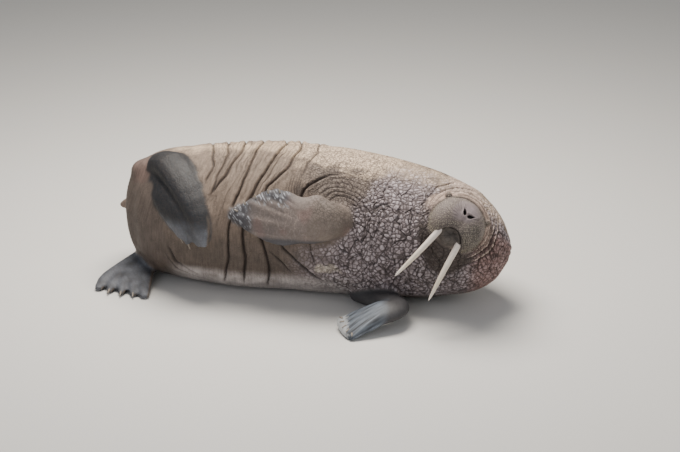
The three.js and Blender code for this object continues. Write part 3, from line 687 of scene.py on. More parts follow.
roll_wave = rough(head_places, 13.0, 6.0)
reach = np.hypot(aside - 0.010, above - 0.004)
behind = np.clip(on_head + recall(skin, "on_neck") + 0.8 * (along > 0.6), 0, 1) * (1
    - step_between(-0.10, -0.055, forward))
behind = behind * step_between(-0.42, -0.36, forward) * (facing @ NOSE > -0.15)
off_eyes = 1 - step_between(0.078, 0.046, np.min([np.linalg.norm(places - e, axis=1) for e in eyes], axis=0))
roll_shown = step_between(-105, -72, face_turn) * (1 - step_between(112, 150, face_turn)) * behind * off_eyes
# where the painted highlight goes on the crests of the strong rolls
roll_crest_highlight = np.zeros(len(places))
for roll, (size, power) in enumerate(ROLLS):
    course = reach - size - (0.0045 + 0.0010 * roll) * roll_wave - 0.0025 * rough(head_places, 34.0, roll
                                                                                  + 30.0)
    patchy = 1 if power > 0.6 else step_between(-0.15, 0.25, rough(head_places, 11.0, roll + 50.0))
    width = ROLL_WIDTH * (0.55 + 0.45 * power)
    crease(course, width, ROLL_DEPTH * power, roll_shown * patchy, 0.95 * power ** 0.5)
    if power > 0.6:
        roll_crest_highlight = np.maximum(roll_crest_highlight, roll_shown * (reach > 0.199)
                                * np.exp(-(((course + 0.0085) / 0.0056) ** 2)))
edge_shown = on_head * step_between(-125, -85, face_turn) * (1 - step_between(125, 165, face_turn))
crease(forward - MUZZLE_EDGE + 0.006 * roll_wave, 0.0085, 0.0120, edge_shown * off_eyes, 1.0)
print("rolls", len(ROLLS))

# %% Move the skin
SKIN_INSET = 0.004  # keeps the swells of the hide inside the solids


def ease_floor(points, facing):
    """Lets the underside keep its place on the floor."""
    return 1 - step_between(0.5, 0.85, -facing[:, 2]) * (points[:, 2] < 0.06)


lift = rise - sink + bosses + muzzle_lift - SKIN_INSET
places = places + facing * (lift * ease_floor(places, facing))[:, None]
places = np.clip(places, CAD_BOX[0], CAD_BOX[1])
set_places(skin, places)
print("moved out", round(float(lift.max()) * 1000, 1), "mm at most, in",
      round(float(-lift.min()) * 1000, 1), "mm")

# %% [markdown]
# ## Eyes and lids
# A dozing walrus shows hardly more than a slit of a small dark eye. The hide near each
# eye rises as a low dome over the ball, which makes the bulge of the lids, and the points
# of the slit are pushed in under the eye's surface.

# %% Lids
LID_LONG = 0.032
LID_TALL = 0.024
LID_HIGH = 0.0238
SLIT_LONG = 0.0120
SLIT_OPEN = 0.0026
SLIT_DEPTH = 0.007
LID_CREASE = 0.0125  # how far each crease lies from the slit
LID_CREASE_DEPTH = 0.0009

places = coordinates(skin)
lid = np.zeros(len(places))
for side in (-1, 1):
    centre = from_head(on_side(EYE_PLACE, side))
    outward = from_head(on_side((EYE_PLACE[0] + 0.12, EYE_PLACE[1] * 2.2, EYE_PLACE[2] * 2.2), side)) - centre
    outward /= np.linalg.norm(outward)
    slit_way = NOSE - outward * (NOSE @ outward)
    slit_way /= np.linalg.norm(slit_way)
    slit_up = np.cross(slit_way, outward)
    ray = places - centre
    height = ray @ outward
    slit_x = ray @ slit_way
    slit_y = ray @ slit_up
    over = np.clip(1 - (slit_x / LID_LONG) ** 2 - (slit_y / LID_TALL) ** 2, 0, 1)
    outer = (height > -0.01) & (height < 0.06)
    dome = LID_HIGH * np.sqrt(over)
    raised_by = np.where(outer, np.maximum(dome - height, 0) * (over > 0), 0)
    places += outward * raised_by[:, None]
    opening = SLIT_OPEN * np.clip(1 - (slit_x / SLIT_LONG) ** 2, 0, 1)
    inside = (1 - step_between(0.7, 1.4, np.abs(slit_y) / np.maximum(opening, 1e-4))) * outer * (over > 0.3)
    places -= outward * (inside * SLIT_DEPTH)[:, None]
    lid_crease = np.exp(-(((np.abs(slit_y) - LID_CREASE) / 0.002) ** 2)) * outer * (over > 0.05)
    places -= outward * (lid_crease * LID_CREASE_DEPTH)[:, None]
    lid = np.maximum(lid, step_between(0.1, 0.6, over) * outer)
set_places(skin, places)
print("lid points", int((lid > 0.5).sum()))

# %% [markdown]
# ## Digits of the flippers
# Under the thick skin of each flipper five fingers fan out from the wrist to the claws.
# Each shows as a low ridge with a groove on both sides, so each is a line from the wrist
# to its claw, and the points near it rise.

# %% Digits
CLAWS_RIGHT = [((-0.680, -0.508, 0.680), (-0.82, 0.25, 0.52)), ((-0.626, -0.497, 0.727), (-0.28, 0.29, 0.92)),
               ((-0.555, -0.495, 0.769), (-0.20, 0.28, 0.94)), ((-0.471, -0.498, 0.806), (-0.19, 0.26, 0.95)),
               ((-0.395, -0.509, 0.813), (-0.21, 0.26, 0.94))]
CLAWS_LEFT = [((0.077, -1.060, 0.043), (-0.01, -0.99, -0.12)),
              ((0.053, -1.019, 0.054), (-0.62, -0.75, -0.22)),
              ((0.034, -0.975, 0.062), (-0.91, -0.34, -0.24)), ((0.020, -0.927, 0.071), (-0.98, 0.17, -0.07)),
              ((0.012, -0.881, 0.076), (-0.71, 0.69, 0.15))]
WRIST_RIGHT = [(-0.275, -0.640, 0.610), (-0.275, -0.630, 0.645), (-0.270, -0.625, 0.680),
               (-0.265, -0.615, 0.715),
               (-0.262, -0.600, 0.750)]
WRIST_LEFT = [(0.330, -0.920, 0.150), (0.320, -0.900, 0.160), (0.310, -0.880, 0.165), (0.300, -0.860, 0.165),
              (0.290, -0.840, 0.160)]
TIPS_RIGHT = [(-0.735, -0.500, 0.655)] + [tuple(np.array(c[0]) + np.array(c[1])
                                                * 0.02) for c in CLAWS_RIGHT[1:]]
TIPS_LEFT = [tuple(np.array(c[0]) + np.array(c[1]) * 0.01) for c in CLAWS_LEFT]
DIGIT_RISE = 0.005
DIGIT_WIDTH = 0.017


def distance_to_bone(points, start, end):
    """Distance from points to a straight bone, and the share of its length."""
    start, end = np.array(start), np.array(end)
    share = np.clip((points - start) @ (end - start) / ((end - start) @ (end - start)), 0, 1)
    return np.linalg.norm(points - start - share[:, None] * (end - start), axis=1), share


places = coordinates(skin)
facing = normals(skin)
digit_lift = np.zeros(len(places))
between = np.zeros(len(places))
for zone, wrists, tips, out in (("on_fore_right", WRIST_RIGHT, TIPS_RIGHT, (0, -0.93, 0.37)),
                                ("on_fore_left", WRIST_LEFT, TIPS_LEFT, (-0.3, -0.28, 0.9))):
    on_limb = recall(skin, zone)
    ridge = np.zeros(len(places))
    reached = np.zeros(len(places))
    for start, end in zip(wrists, tips):
        start = np.array(start) + np.array(out) * 0.01
        gap, share = distance_to_bone(places, start, end)
        flat_gap = gap * 0.8
        ridge = np.maximum(ridge, np.exp(-((flat_gap / DIGIT_WIDTH) ** 2)))
        reached = np.maximum(reached, step_between(0.05, 0.4, share) * (gap < 0.08))
    outer = step_between(0.2, 0.6, facing @ np.array(out))
    digit_lift += on_limb * outer * reached * DIGIT_RISE * (ridge - 0.6)
    between = np.maximum(between, on_limb * outer * reached * (1 - ridge))
places = places + facing * digit_lift[:, None]
places[:, 2] = np.maximum(places[:, 2], 0.0)
set_places(skin, places)
print("digits rise", round(float(digit_lift.max()) * 1000, 1), "mm at most")

# %% [markdown]
# ## Painted shade where the hide is hollow
# Shade is painted wherever the surface is concave. Averaging every point with its
# neighbours and seeing whether it moves outwards finds those places, also where a
# flipper meets the flank.

# %% Hollows
edges = edge_list(skin)
facing = normals(skin)
spread = averaged(places, edges, 10)
sunk = np.einsum("ij,ij->i", spread - places, facing)
# painted shade wherever the surface is concave
hollow_shade = np.maximum(hollow_shade, step_between(0.0004, 0.0035, sunk))
hollow_shade = averaged(hollow_shade, edges, 1)[:, 0]
print("hollow points", int((hollow_shade > 0.5).sum()))

# %% [markdown]
# ## Markings
# The colours are laid on the points from what each region of a living walrus looks like:
# a dry tan back, browner flanks, a darker lower side that is partly the belly's own colour
# and partly painted shade, a grey-lilac chest whose bosses are rubbed pale, an olive-grey
# muzzle under its bristles, and bare slate-blue flippers. Some marks are painted light and
# shade: highlights on top of the back, on the crests of the rolls and on the nose pad, a pale
# wet band low on the flank, and shade in the armpit, under the head, along the muzzle's
# edge, in the nostrils and in every hollow. Every region ends in a ragged, soft border.

# %% Markings
def paint(hex_colour, share):
    """Lays a colour over the points' colours by a share from 0 to 1."""
    share = np.clip(share, 0, 1)[:, None]
    colour[:] = colour * (1 - share) + np.array(linear(hex_colour)) * share


def spot(centre, reach, ragged=0.0):
    """A soft patch round a place, reach metres wide."""
    away = np.linalg.norm((places - np.array(centre)) / np.array(reach), axis=1)
    return 1 - step_between(0.6, 1.15, away + ragged * cloud)


angle, radius = round_trunk(places)
along = places[:, 0]
head_places = to_head(places)
forward, aside, above = head_places.T
cloud = rough(places, 14.0, 11.0)
grain = rough(places, 60.0, 12.0)
ragged = cloud * 12 + grain * 5
colour = np.tile(linear("#75665a"), (len(places), 1))
print("points to colour", len(places))

# %% Markings of the trunk
pale_reach = np.interp(along, [-1.2, -0.9, -0.55, -0.25, 0.2, 0.6, 0.9], [2, 5, 8, 20, 22, 20, 22])
pale = 1 - step_between(-13, 15, np.abs(angle + 2) - pale_reach + ragged)
paint("#b9a48d", pale)
# painted highlight: the top of the back painted lighter, where the overhead light falls
paint("#d2bba3", pale * spot((0.1, -0.1, 0.95), (0.42, 0.6, 0.4), 0.2) * 0.85)
# darker lower side: partly the belly's own colour, partly painted shade
paint("#50463f", step_between(66, 106, angle + ragged * 0.7))
paint("#87776b", step_between(-30, -90, angle) * 0.6)
shoulder = step_between(-0.28, -0.1, along) * (1 - step_between(0.20, 0.36, along)) * step_between(18, 34,
    angle + ragged)
shoulder *= 1 - step_between(62, 80, angle)
tan_folds = spot((-0.50, -0.08, 0.83), (0.22, 0.3, 0.10), 0.4)
paint("#6e6054", tan_folds * 0.65)
paint("#70655d", shoulder * 0.85)
# painted shade in the armpit
paint("#2f2723", armpit_shade * 0.8)
rump = step_between(-1.06, -1.26, along + 0.04 * cloud)
paint("#564c46", rump * 0.85)
paint("#63504a", spot((-1.32, 0.05, 0.76), (0.12, 0.2, 0.10), 0.4) * 0.7)

bossed = cracked_share * calm
paint("#84787a", cracked_share * (0.25 + 0.70 * step_between(0, 40, angle)))
boss_tone = np.clip(0.22 + 0.72 * boss_dice + 0.55 * cloud + 0.25 * grain, 0, 1) * step_between(0.06, 0.36,
                                                                                                boss)
paint("#bfb4b8", bossed * boss_tone * (0.84 + 0.16 * (1 - step_between(20, 60, angle))))
neck_right = step_between(0.78, 0.93, along) * step_between(28, 60, angle)
paint("#8d6459", neck_right * 0.6)
# painted shade: the chest under the head darkened
under_head_shade = spot((0.62, -0.84, 0.30), (0.26, 0.3, 0.26), 0.3)
paint("#625c5b", under_head_shade * 0.35)
paint("#c5baab", spot((-0.10, -0.58, 0.292), (0.085, 0.2, 0.034), 0.9) * (1 - limb) * 0.75)
damp = step_between(0.25, 0.17, places[:, 2] + 0.015 * cloud) * (1 - limb)
# painted light: the damp band low on the flank is painted pale, so it looks bright where the floor shades the
# underside
wet_band_light = damp * (1 - step_between(-0.05, 0.25, along)) * step_between(-1.2, -1.0, along)
paint("#b5adaa", wet_band_light * (0.75 + 0.4 * cloud) * 0.95)
print("chest share", round(float(cracked_share.mean()), 3))

# %% Markings of the head
on_head = recall(skin, "on_head")
roll_share = on_head * (1 - step_between(-0.10, -0.06, forward))
paint("#b59d8f", roll_share * step_between(-0.1, 0.05, above))
paint("#cfb8aa", spot((0.84, -0.36, 0.78), (0.17, 0.3, 0.09), 0.4) * 0.75)
paint("#4c4441", on_head * step_between(-0.10, -0.16, above))
# painted highlight: cream on the crests of the rolls, on their upper side
paint("#e0cabb", roll_crest_highlight * step_between(-0.08, 0.06, above + 0.6 * aside) * 0.9)
muzzle_share = on_head * step_between(-0.105, -0.075, forward) * step_between(-0.19, -0.14, above)
paint("#706662", muzzle_share)
nose_share = spot(from_head((0.07, 0.014, 0.105)), (0.12, 0.12, 0.085), 0.5)
# the nose pad's grey-lilac: partly its own colour, partly a painted highlight
paint("#8b7f81", muzzle_share * nose_share * (0.66 + 0.5 * cloud))
left_pad = spot(from_head((0.06, 0.125, -0.05)), (0.09, 0.13, 0.12), 0.4)
paint("#4a4541", muzzle_share * left_pad * 0.8)
paint("#3d3734", muzzle_share * np.exp(-((arch / 0.036) ** 2)) * ~inside_arch * 0.75)
paint("#544e49", front * inside_arch * 0.9)
chin_line = 1 - step_between(0.0, 0.14, np.abs(rough(places * [1.0, 1.0, 2.2], 20.0, 41.0)))
paint("#2f2926", front * inside_arch * chin_line * 0.6)
# painted shade: a dark band along the muzzle's back edge, where it meets the rolls
paint("#38302c", on_head * np.exp(-(((forward - MUZZLE_EDGE) / 0.011) ** 2)) * (above > -0.12) * 0.6)
print("muzzle points", int((muzzle_share > 0.5).sum()))

# %% Markings of the flippers
fore_right = recall(skin, "on_fore_right")
paint("#756a64", fore_right)
paint("#7c635d", fore_right * step_between(0.05, 0.45, rough(places, 9.0, 31.0)) * 0.55)
wrinkled = np.abs(rough(places * [1.0, 1.0, 0.55] + 0.02 * cloud[:, None], 34.0, 33.0))
wrinkled = (1 - step_between(0.0, 0.10, wrinkled)) * spot((-0.34, -0.62, 0.65), (0.22, 0.4, 0.13), 0.5)
paint("#a8968e", fore_right * wrinkled * 0.42)
paint("#6f645b", fore_right * spot((-0.06, -0.66, 0.66), (0.17, 0.3, 0.17), 0.4) * 0.75)
lower_edge = step_between(0.555, 0.510, places[:, 2] + 0.01 * cloud)
upper_edge = step_between(0.735, 0.785, places[:, 2] + 0.01 * cloud) * step_between(-0.28, -0.36, along)
outer_end = step_between(-0.54, -0.64, along + 0.02 * cloud)
margin = np.clip(lower_edge + upper_edge + outer_end, 0, 1)
paint("#3b3d44", fore_right * margin * 0.85)
digit_end = np.full(len(places), 9.0)
for (place, way), tip in zip(CLAWS_RIGHT, TIPS_RIGHT):
    gap, _ = distance_to_bone(places, np.array(place) - np.array(way) * 0.055, np.array(place)
                              + np.array(way) * 0.02)
    digit_end = np.minimum(digit_end, gap)
digit_tip = fore_right * (1 - step_between(0.008, 0.020, digit_end + 0.003 * grain))
slant = np.stack([places @ [0.83, 0.10, 0.55] * 120, places @ [-0.5, 0.25, 0.83] * 16, places[:, 0] * 0], 1)
scratch = step_between(0.02, 0.30, rough(slant, 1.0, 4.0)) * step_between(-0.20, 0.20,
                                                                          rough(places, 42.0, 5.0))
edge_zone = fore_right * step_between(-0.30, -0.37, along) * step_between(0.705, 0.755, places[:, 2]
                                                                          + 0.012 * cloud)
edge_zone = np.maximum(edge_zone, fore_right * outer_end)
paint("#b9bcc2", np.maximum(edge_zone * scratch * 0.75, digit_tip * (0.15 + 0.6 * scratch)))
paint("#2c2b2f", fore_right * between * 0.28)

fore_left = recall(skin, "on_fore_left")
paint("#3a393b", fore_left)
hand = fore_left * step_between(0.33, 0.24, along + 0.02 * cloud) * step_between(-0.70, -0.76, places[:, 1])
paint("#606872", hand)
long_way = np.array([-0.75, -0.45, -0.35])
long_way /= np.linalg.norm(long_way)
across_hand = np.cross(long_way, [-0.3, -0.28, 0.9])
furrow_at = np.stack([places @ across_hand * 95, places @ long_way * 5, places[:, 0] * 0], 1)
furrow = step_between(0.0, 0.35, rough(furrow_at, 1.0, 9.0)) * step_between(0.33, 0.24, along)
paint("#1d2026", hand * np.clip(between * 0.9 + furrow * 0.65, 0, 1) * 0.9)
paint("#b8b9b9", fore_left * step_between(0.062, 0.03, along + 0.02 * grain) * 0.65)

on_hind = recall(skin, "on_hind")
paint("#1f2125", on_hind)
paint("#1c1d20", on_hind * spot((-1.13, -0.12, 0.88), (0.20, 0.3, 0.12), 0.5) * 0.8)
paint("#62656c", on_hind * step_between(0.60, 0.50, places[:, 2]) * (0.7 + 0.5 * cloud))
paint("#6d6156", on_hind * step_between(0.35, 0.85, facing[:, 0] + 0.2 * cloud) * 0.75)
paint("#7b6b61", recall(skin, "on_tail") * 0.8)
print("flippers done")

# %% Painted shade in the folds, and what the finish reads
# painted shade: near-black in folds, creases, cracks and hollows, weaker on the lids
paint("#1e1715", hollow_shade * (0.86 - 0.5 * lid))
# painted shade: the insides of the nostril slits painted near-black
paint("#0d0a09", np.interp(nostril, [0, 0.5], [0, 1]))
paint("#5c4c45", lid * 0.35)
store(skin, "hide_colour", np.concatenate([colour, np.ones((len(colour), 1))], 1), "FLOAT_COLOR")
store(skin, "damp", np.clip(damp + 0.5 * (fore_left + on_hind) + 0.5 * bossed * boss_tone + 0.35
                            * fore_right, 0, 1))
upper_back = (1 - limb) * step_between(-0.55, -0.10, along) * (1
    - step_between(60, 85, angle)) * step_between(-60, -20, angle)
crackled = 0.35 * cracked_share + 0.45 * shoulder + 0.80 * upper_back * (1 - cracked_share)
store(skin, "crackle", np.clip(crackled + 0.2 * fore_right + 0.5 * roll_share + 0.25 * on_hind, 0, 1))
furred = np.clip((1 - limb) * (1 - 0.8 * cracked_share) + 0.3 * roll_share + 0.5 * on_hind, 0, 1)
store(skin, "furred", furred)
bristled = muzzle_share * (1 - front * inside_arch) * (1 - nose_share) * (1 - nostril) * (1
    - np.exp(-((arch / 0.02) ** 2)))
store(skin, "bristled", bristled)
lie = np.stack([along + 0.0022 * np.clip(angle, -20, 80), np.radians(angle) * radius, np.zeros(len(along))],
               1)
hind_way = np.array([0.36, -0.60, -0.71])
hind_aside = np.cross(hind_way, [0.1, -0.8, 0.6])
lie = np.where(on_hind[:, None] > 0.5, np.stack([places @ hind_aside, places @ hind_way, places[:, 0] * 0],
                                                1), lie)
store(skin, "lie", lie, "FLOAT_VECTOR")
print("darkest share", round(float((hollow_shade > 0.5).mean()), 3))

# %% [markdown]
# ## The hide's finish
# Walrus hide is living leather: thick, matt, and covered in sparse short hair that only
# shows as a grain. The points carry the broad colours. The nodes add what is too fine
# for them: mottling, streaks along the folds, small cracks, hair grain and damp gloss.

# %% Hide material
hide, tree, shader = new_material("walrus_hide")
base = node(tree, "ShaderNodeAttribute", {"attribute_name": "hide_colour"}).outputs["Color"]
damp_at, crackle_at, furred_at, bristled_at = [
    node(tree, "ShaderNodeAttribute", {"attribute_name": name}).outputs["Fac"]
    for name in ("damp", "crackle", "furred", "bristled")]
lie_at = node(tree, "ShaderNodeAttribute", {"attribute_name": "lie"}).outputs["Vector"]
where = node(tree, "ShaderNodeTexCoord").outputs["Object"]

# Lumps of colour 60 mm wide, and a pore grain of 4 mm, drawn coarser than the real 1 mm.
mottle = node(tree, "ShaderNodeTexNoise", Vector=where, Scale=16.0, Detail=5.0, Roughness=0.6)
pores = node(tree, "ShaderNodeTexNoise", Vector=where, Scale=240.0, Detail=3.0, Roughness=0.6)
# Fine wrinkles of dry hide: a wandering line wherever a noise passes its middle value.
crumpled = node(tree, "ShaderNodeTexNoise", Vector=where, Scale=26.0, Detail=4.0, Roughness=0.62,
                Distortion=0.6)
middle = node(tree, "ShaderNodeMath", {"operation": "SUBTRACT"}, _0=crumpled.outputs["Fac"], _1=0.5)
middle = node(tree, "ShaderNodeMath", {"operation": "ABSOLUTE"}, _0=middle.outputs[0])
wrinkle = node(tree, "ShaderNodeMapRange", Value=middle.outputs[0], _1=0.0, _2=0.030, _3=0.80, _4=0.0)
wrinkle_share = node(tree, "ShaderNodeMath", {"operation": "MULTIPLY"}, _0=wrinkle.outputs[0], _1=crackle_at)
# Streaks 12 mm wide that run along the folds.
stretched = node(tree, "ShaderNodeMapping", {"vector_type": "POINT"}, Vector=lie_at, Scale=(80.0, 9.0, 1.0))
streaks = node(tree, "ShaderNodeTexNoise", Vector=stretched.outputs[0], Scale=1.0, Detail=4.0, Roughness=0.6)
# Fine lines in the hide along the folds, about 35 mm apart.
drawn = node(tree, "ShaderNodeMapping", {"vector_type": "POINT"}, Vector=lie_at, Scale=(30.0, 4.0, 1.0))
drawn = node(tree, "ShaderNodeVectorMath", {"operation": "MULTIPLY_ADD"}, _0=mottle.outputs["Color"],
             _1=(3.2, 1.6, 0.0), _2=drawn.outputs[0])
lines = node(tree, "ShaderNodeTexVoronoi", {"feature": "DISTANCE_TO_EDGE", "voronoi_dimensions": "2D"},
             Vector=drawn.outputs[0], Scale=1.0)
line_band = node(tree, "ShaderNodeMapRange", Value=lines.outputs["Distance"], _1=0.0, _2=0.11, _3=1.0, _4=0.0)
patchy = node(tree, "ShaderNodeTexNoise", Vector=where, Scale=7.0, Detail=2.0)
patches = node(tree, "ShaderNodeMapRange", Value=patchy.outputs["Fac"], _1=0.40, _2=0.60, _3=0.15, _4=1.0)
line_share = node(tree, "ShaderNodeMath", {"operation": "MULTIPLY"}, _0=line_band.outputs[0], _1=furred_at)
line_share = node(tree, "ShaderNodeMath", {"operation": "MULTIPLY"}, _0=line_share.outputs[0],
                  _1=patches.outputs[0])
line_tint = node(tree, "ShaderNodeMath", {"operation": "MULTIPLY"}, _0=line_share.outputs[0], _1=0.38)
# Small cracks between scales of 25 mm.
bent = node(tree, "ShaderNodeVectorMath", {"operation": "MULTIPLY_ADD"}, _0=mottle.outputs["Color"],
            _1=(0.03, 0.03, 0.03), _2=where)
scales = node(tree, "ShaderNodeTexVoronoi", {"feature": "DISTANCE_TO_EDGE"}, Vector=bent.outputs[0],
              Scale=42.0)
cracks = node(tree, "ShaderNodeMapRange", Value=scales.outputs["Distance"], _1=0.0, _2=0.15, _3=1.0, _4=0.0)
crack_share = node(tree, "ShaderNodeMath", {"operation": "MULTIPLY"}, _0=cracks.outputs[0], _1=crackle_at)
# Whisker roots: pale dots 12 mm apart on the pads, drawn a little coarser than real.
roots = node(tree, "ShaderNodeTexVoronoi", Vector=where, Scale=84.0, Randomness=0.45)
dots = node(tree, "ShaderNodeMapRange", Value=roots.outputs["Distance"], _1=0.16, _2=0.46, _3=1.0, _4=0.0)
dot_share = node(tree, "ShaderNodeMath", {"operation": "MULTIPLY"}, _0=dots.outputs[0], _1=bristled_at)


print("patterns ready, nodes", len(tree.nodes))

# %% Colour of the hide
# Each pattern brightens and darkens the colour beneath it, between two factors.
tone = base
for pattern, share, low, high in ((mottle, 1.0, 0.78, 1.22), (streaks, furred_at, 0.70, 1.30),
                                  (pores, 1.0, 0.76, 1.24)):
    span = node(tree, "ShaderNodeMapRange", Value=pattern.outputs["Fac"], _1=0.25, _2=0.75, _3=low, _4=high)
    tone = node(tree, "ShaderNodeMixRGB", {"blend_type": "MULTIPLY"}, _0=share, _1=tone,
                _2=span.outputs[0]).outputs[0]
half_dots = node(tree, "ShaderNodeMath", {"operation": "MULTIPLY"}, _0=dot_share.outputs[0], _1=0.5)
for share, tint in ((crack_share, "#3b312e"), (line_tint, "#3d322c"), (wrinkle_share, "#41362f"),
                    (half_dots, "#b4aa98")):
    tone = node(tree, "ShaderNodeMixRGB", _0=share.outputs[0], _1=tone, _2=(*linear(tint), 1)).outputs[0]
tree.links.new(tone, shader.inputs["Base Color"])
print("colour linked", shader.inputs["Base Color"].is_linked)

# %% Gloss and relief of the hide
dry = node(tree, "ShaderNodeMapRange", Value=damp_at, _1=0.0, _2=1.0, _3=0.68, _4=0.36)
gloss = node(tree, "ShaderNodeMath", {"operation": "MULTIPLY_ADD"}, _0=pores.outputs["Fac"], _1=0.14,
             _2=dry.outputs[0])
tree.links.new(gloss.outputs[0], shader.inputs["Roughness"])
shader.inputs["IOR"].default_value = 1.45

relief = node(tree, "ShaderNodeMath", {"operation": "MULTIPLY"}, _0=pores.outputs["Fac"], _1=0.25)
# Hair streaks and whisker roots stand up; cracks, lines and wrinkles go in.
for height, weight in ((streaks.outputs["Fac"], 0.6), (crack_share.outputs[0], -0.8),
                       (dot_share.outputs[0], 0.5),
                       (line_share.outputs[0], -0.6), (wrinkle_share.outputs[0], -0.9)):
    relief = node(tree, "ShaderNodeMath", {"operation": "MULTIPLY_ADD"}, _0=height, _1=weight,
                  _2=relief.outputs[0])
bump = node(tree, "ShaderNodeBump", Strength=0.8, Distance=0.003, Height=relief.outputs[0])
tree.links.new(bump.outputs[0], shader.inputs["Normal"])

skin.data.materials.clear()
skin.data.materials.append(hide)
skin.data.polygons.foreach_set("use_smooth", [True] * len(skin.data.polygons))
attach(skin, "root")
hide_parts(*FLESH)
print("hide nodes", len(hide.node_tree.nodes))

# %% [markdown]
# ## Short hair
# A grown bull has only sparse hair, one to two centimetres long, flat on the hide and
# combed tailwards, thinnest on chest and flippers. Most of it is the grain above. These
# tufts stand where it breaks the outline and catches the light, on every side. Each is a
# flat blade, sunk at its root, in the colour of the hide that it grows from.

# %% Short hair
TUFT_COUNT = 13500
TUFT_LONG = 0.019
TUFT_WIDE = 0.0019
TUFT_THICK = 0.0007
TUFT_LIFT = 0.0022

dice = np.random.default_rng(11)
places = coordinates(skin)
facing = normals(skin)
near_floor = step_between(0.02, 0.10, places[:, 2])
area = np.zeros(len(places))
ends = edge_list(skin)
valence = np.bincount(ends.ravel(), minlength=len(places))
lengths = np.linalg.norm(places[ends[:, 0]] - places[ends[:, 1]], axis=1)
for k in (0, 1):
    np.add.at(area, ends[:, k], lengths)
area = (area / np.maximum(valence, 1)) ** 2
hairy = np.clip(furred * (1 - on_hind) * (1 - step_between(0.0, 0.5, on_head)), 0, 1)
hairy = (0.25 * cracked_share * (1 - limb) + hairy) * near_floor * (1 - hollow_shade)
odds = area * hairy
roots_at = dice.choice(len(places), TUFT_COUNT, replace=False, p=odds / odds.sum())
root = places[roots_at]
out_way = facing[roots_at]
comb = np.array([-1.0, -0.08, -0.16]) + dice.normal(0, 0.13, (TUFT_COUNT, 3))
comb -= out_way * np.einsum("ij,ij->i", comb, out_way)[:, None]
comb /= np.linalg.norm(comb, axis=1)[:, None]
across_way = np.cross(out_way, comb)
size = dice.uniform(0.65, 1.15, (TUFT_COUNT, 1)) * (1 - 0.45 * cracked_share[roots_at][:, None])
print("hair roots", len(roots_at))

# %% Blades of hair
corners = []
for share, wide, thick, rise_by in ((0.0, 1.0, 1.0, -0.5), (0.5, 0.8, 0.8, 0.25), (1.0, 0.05, 0.1, 1.0)):
    middle = root + comb * size * TUFT_LONG * share + out_way * size * TUFT_LIFT * rise_by
    for side_step, up_step in ((-1, 0), (1, 0), (0, 1)):
        corners.append(middle + across_way * side_step * TUFT_WIDE / 2 * wide + out_way * up_step
                       * TUFT_THICK * thick)
tuft_points = np.clip(np.stack(corners, 1).reshape(-1, 3), CAD_BOX[0], CAD_BOX[1])
tuft_faces = [(2, 1, 0), (6, 7, 8)]
tuft_faces += [(r + a, r + b, r + b + 3, r + a + 3) for r in (0, 3) for a, b in ((0, 1), (1, 2), (2, 0))]
all_tufts = [tuple(v + 9 * k for v in face) for k in range(TUFT_COUNT) for face in tuft_faces]
hair = make_mesh("short_hair", tuft_points, all_tufts)
shade = dice.uniform(0.85, 1.35, (TUFT_COUNT, 1))
hair_colour = np.repeat(np.clip(colour[roots_at] * shade, 0, 1), 9, axis=0)
store(hair, "hide_colour", np.concatenate([hair_colour, np.ones((len(hair_colour), 1))], 1), "FLOAT_COLOR")


def lay_map(item, patch_centres, within_patch):
    """Gives an item of equal hairs its map: one patch to a hair, one place to a point of it."""
    corner_points = np.empty(len(item.data.loops), int)
    item.data.loops.foreach_get("vertex_index", corner_points)
    hair_of, point_of = np.divmod(corner_points, len(within_patch))
    flat = patch_centres[hair_of] + within_patch[point_of]
    item.data.uv_layers.new(name="OFBake").data.foreach_set("uv", flat.astype(np.float32).ravel())


unwrapped = np.stack([0.5 + angle[roots_at] / 380, 0.5 + along[roots_at] / 3.6], 1)
in_patch = np.array([(side_step * 0.4, share - 0.5) for share in (0, 0.5, 1) for side_step in (-1, 1,
                                                                                               0)]) * 0.003
lay_map(hair, unwrapped, in_patch)

# %% Finish of the hair
dry_hair, tree, shader = new_material("short_hair")
root_colour = node(tree, "ShaderNodeAttribute", {"attribute_name": "hide_colour"}).outputs["Color"]
where = node(tree, "ShaderNodeTexCoord").outputs["Object"]
sheen = node(tree, "ShaderNodeTexNoise", Vector=where, Scale=40.0, Detail=2.0)
span = node(tree, "ShaderNodeMapRange", Value=sheen.outputs["Fac"], _1=0.3, _2=0.7, _3=0.85, _4=1.2)
tone = node(tree, "ShaderNodeMixRGB", {"blend_type": "MULTIPLY"}, _0=1.0, _1=root_colour, _2=span.outputs[0])
tree.links.new(tone.outputs[0], shader.inputs["Base Color"])
shader.inputs["Roughness"].default_value = 0.55
shader.inputs["IOR"].default_value = 1.55
hair.data.materials.append(dry_hair)
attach(hair, "root")
print("tufts", TUFT_COUNT, "triangles", sum(len(f) - 2 for f in tuft_faces) * TUFT_COUNT)

# %% [markdown]
# ## Tusks
# A tusk is a canine tooth that never stops growing: off-white ivory, oval in section,
# faintly ringed and cracked along its length, and worn to a blunt tip. It is a loft
# along the same line as its solid, with enough sides to look round.

# %% Tusks
def spline(points, count):
    """Points along a smooth curve through the given ones."""
    points = np.asarray(points, float)
    padded = np.concatenate([[2 * points[0] - points[1]], points, [2 * points[-1] - points[-2]]])
    out = []
    for t in np.linspace(0, len(points) - 1 - 1e-9, count):
        i, f = int(t), t - int(t)
        a, b, c, d = padded[i:i + 4]
        out.append(0.5 * (2 * b + (c - a) * f + (2 * a - 5 * b + 4 * c - d) * f ** 2
                          + (3 * b - a - 3 * c + d) * f ** 3))
    return np.array(out)


def loft(rings):
    """Faces that join rings of equal count, with a point of closing faces at both ends."""
    sides = len(rings[0])
    points = np.concatenate(rings + [[np.mean(rings[0], axis=0)], [np.mean(rings[-1], axis=0)]])
    faces = []
    for r in range(len(rings) - 1):
        for s in range(sides):
            a, b = r * sides + s, r * sides + (s + 1) % sides
            faces.append((a, b, b + sides, a + sides))
    last = (len(rings) - 1) * sides
    for s in range(sides):
        faces.append((s, len(points) - 2, (s + 1) % sides))
        faces.append((last + s, last + (s + 1) % sides, len(points) - 1))
    return points, faces


TUSK_RINGS = 60
TUSK_SIDES = 28

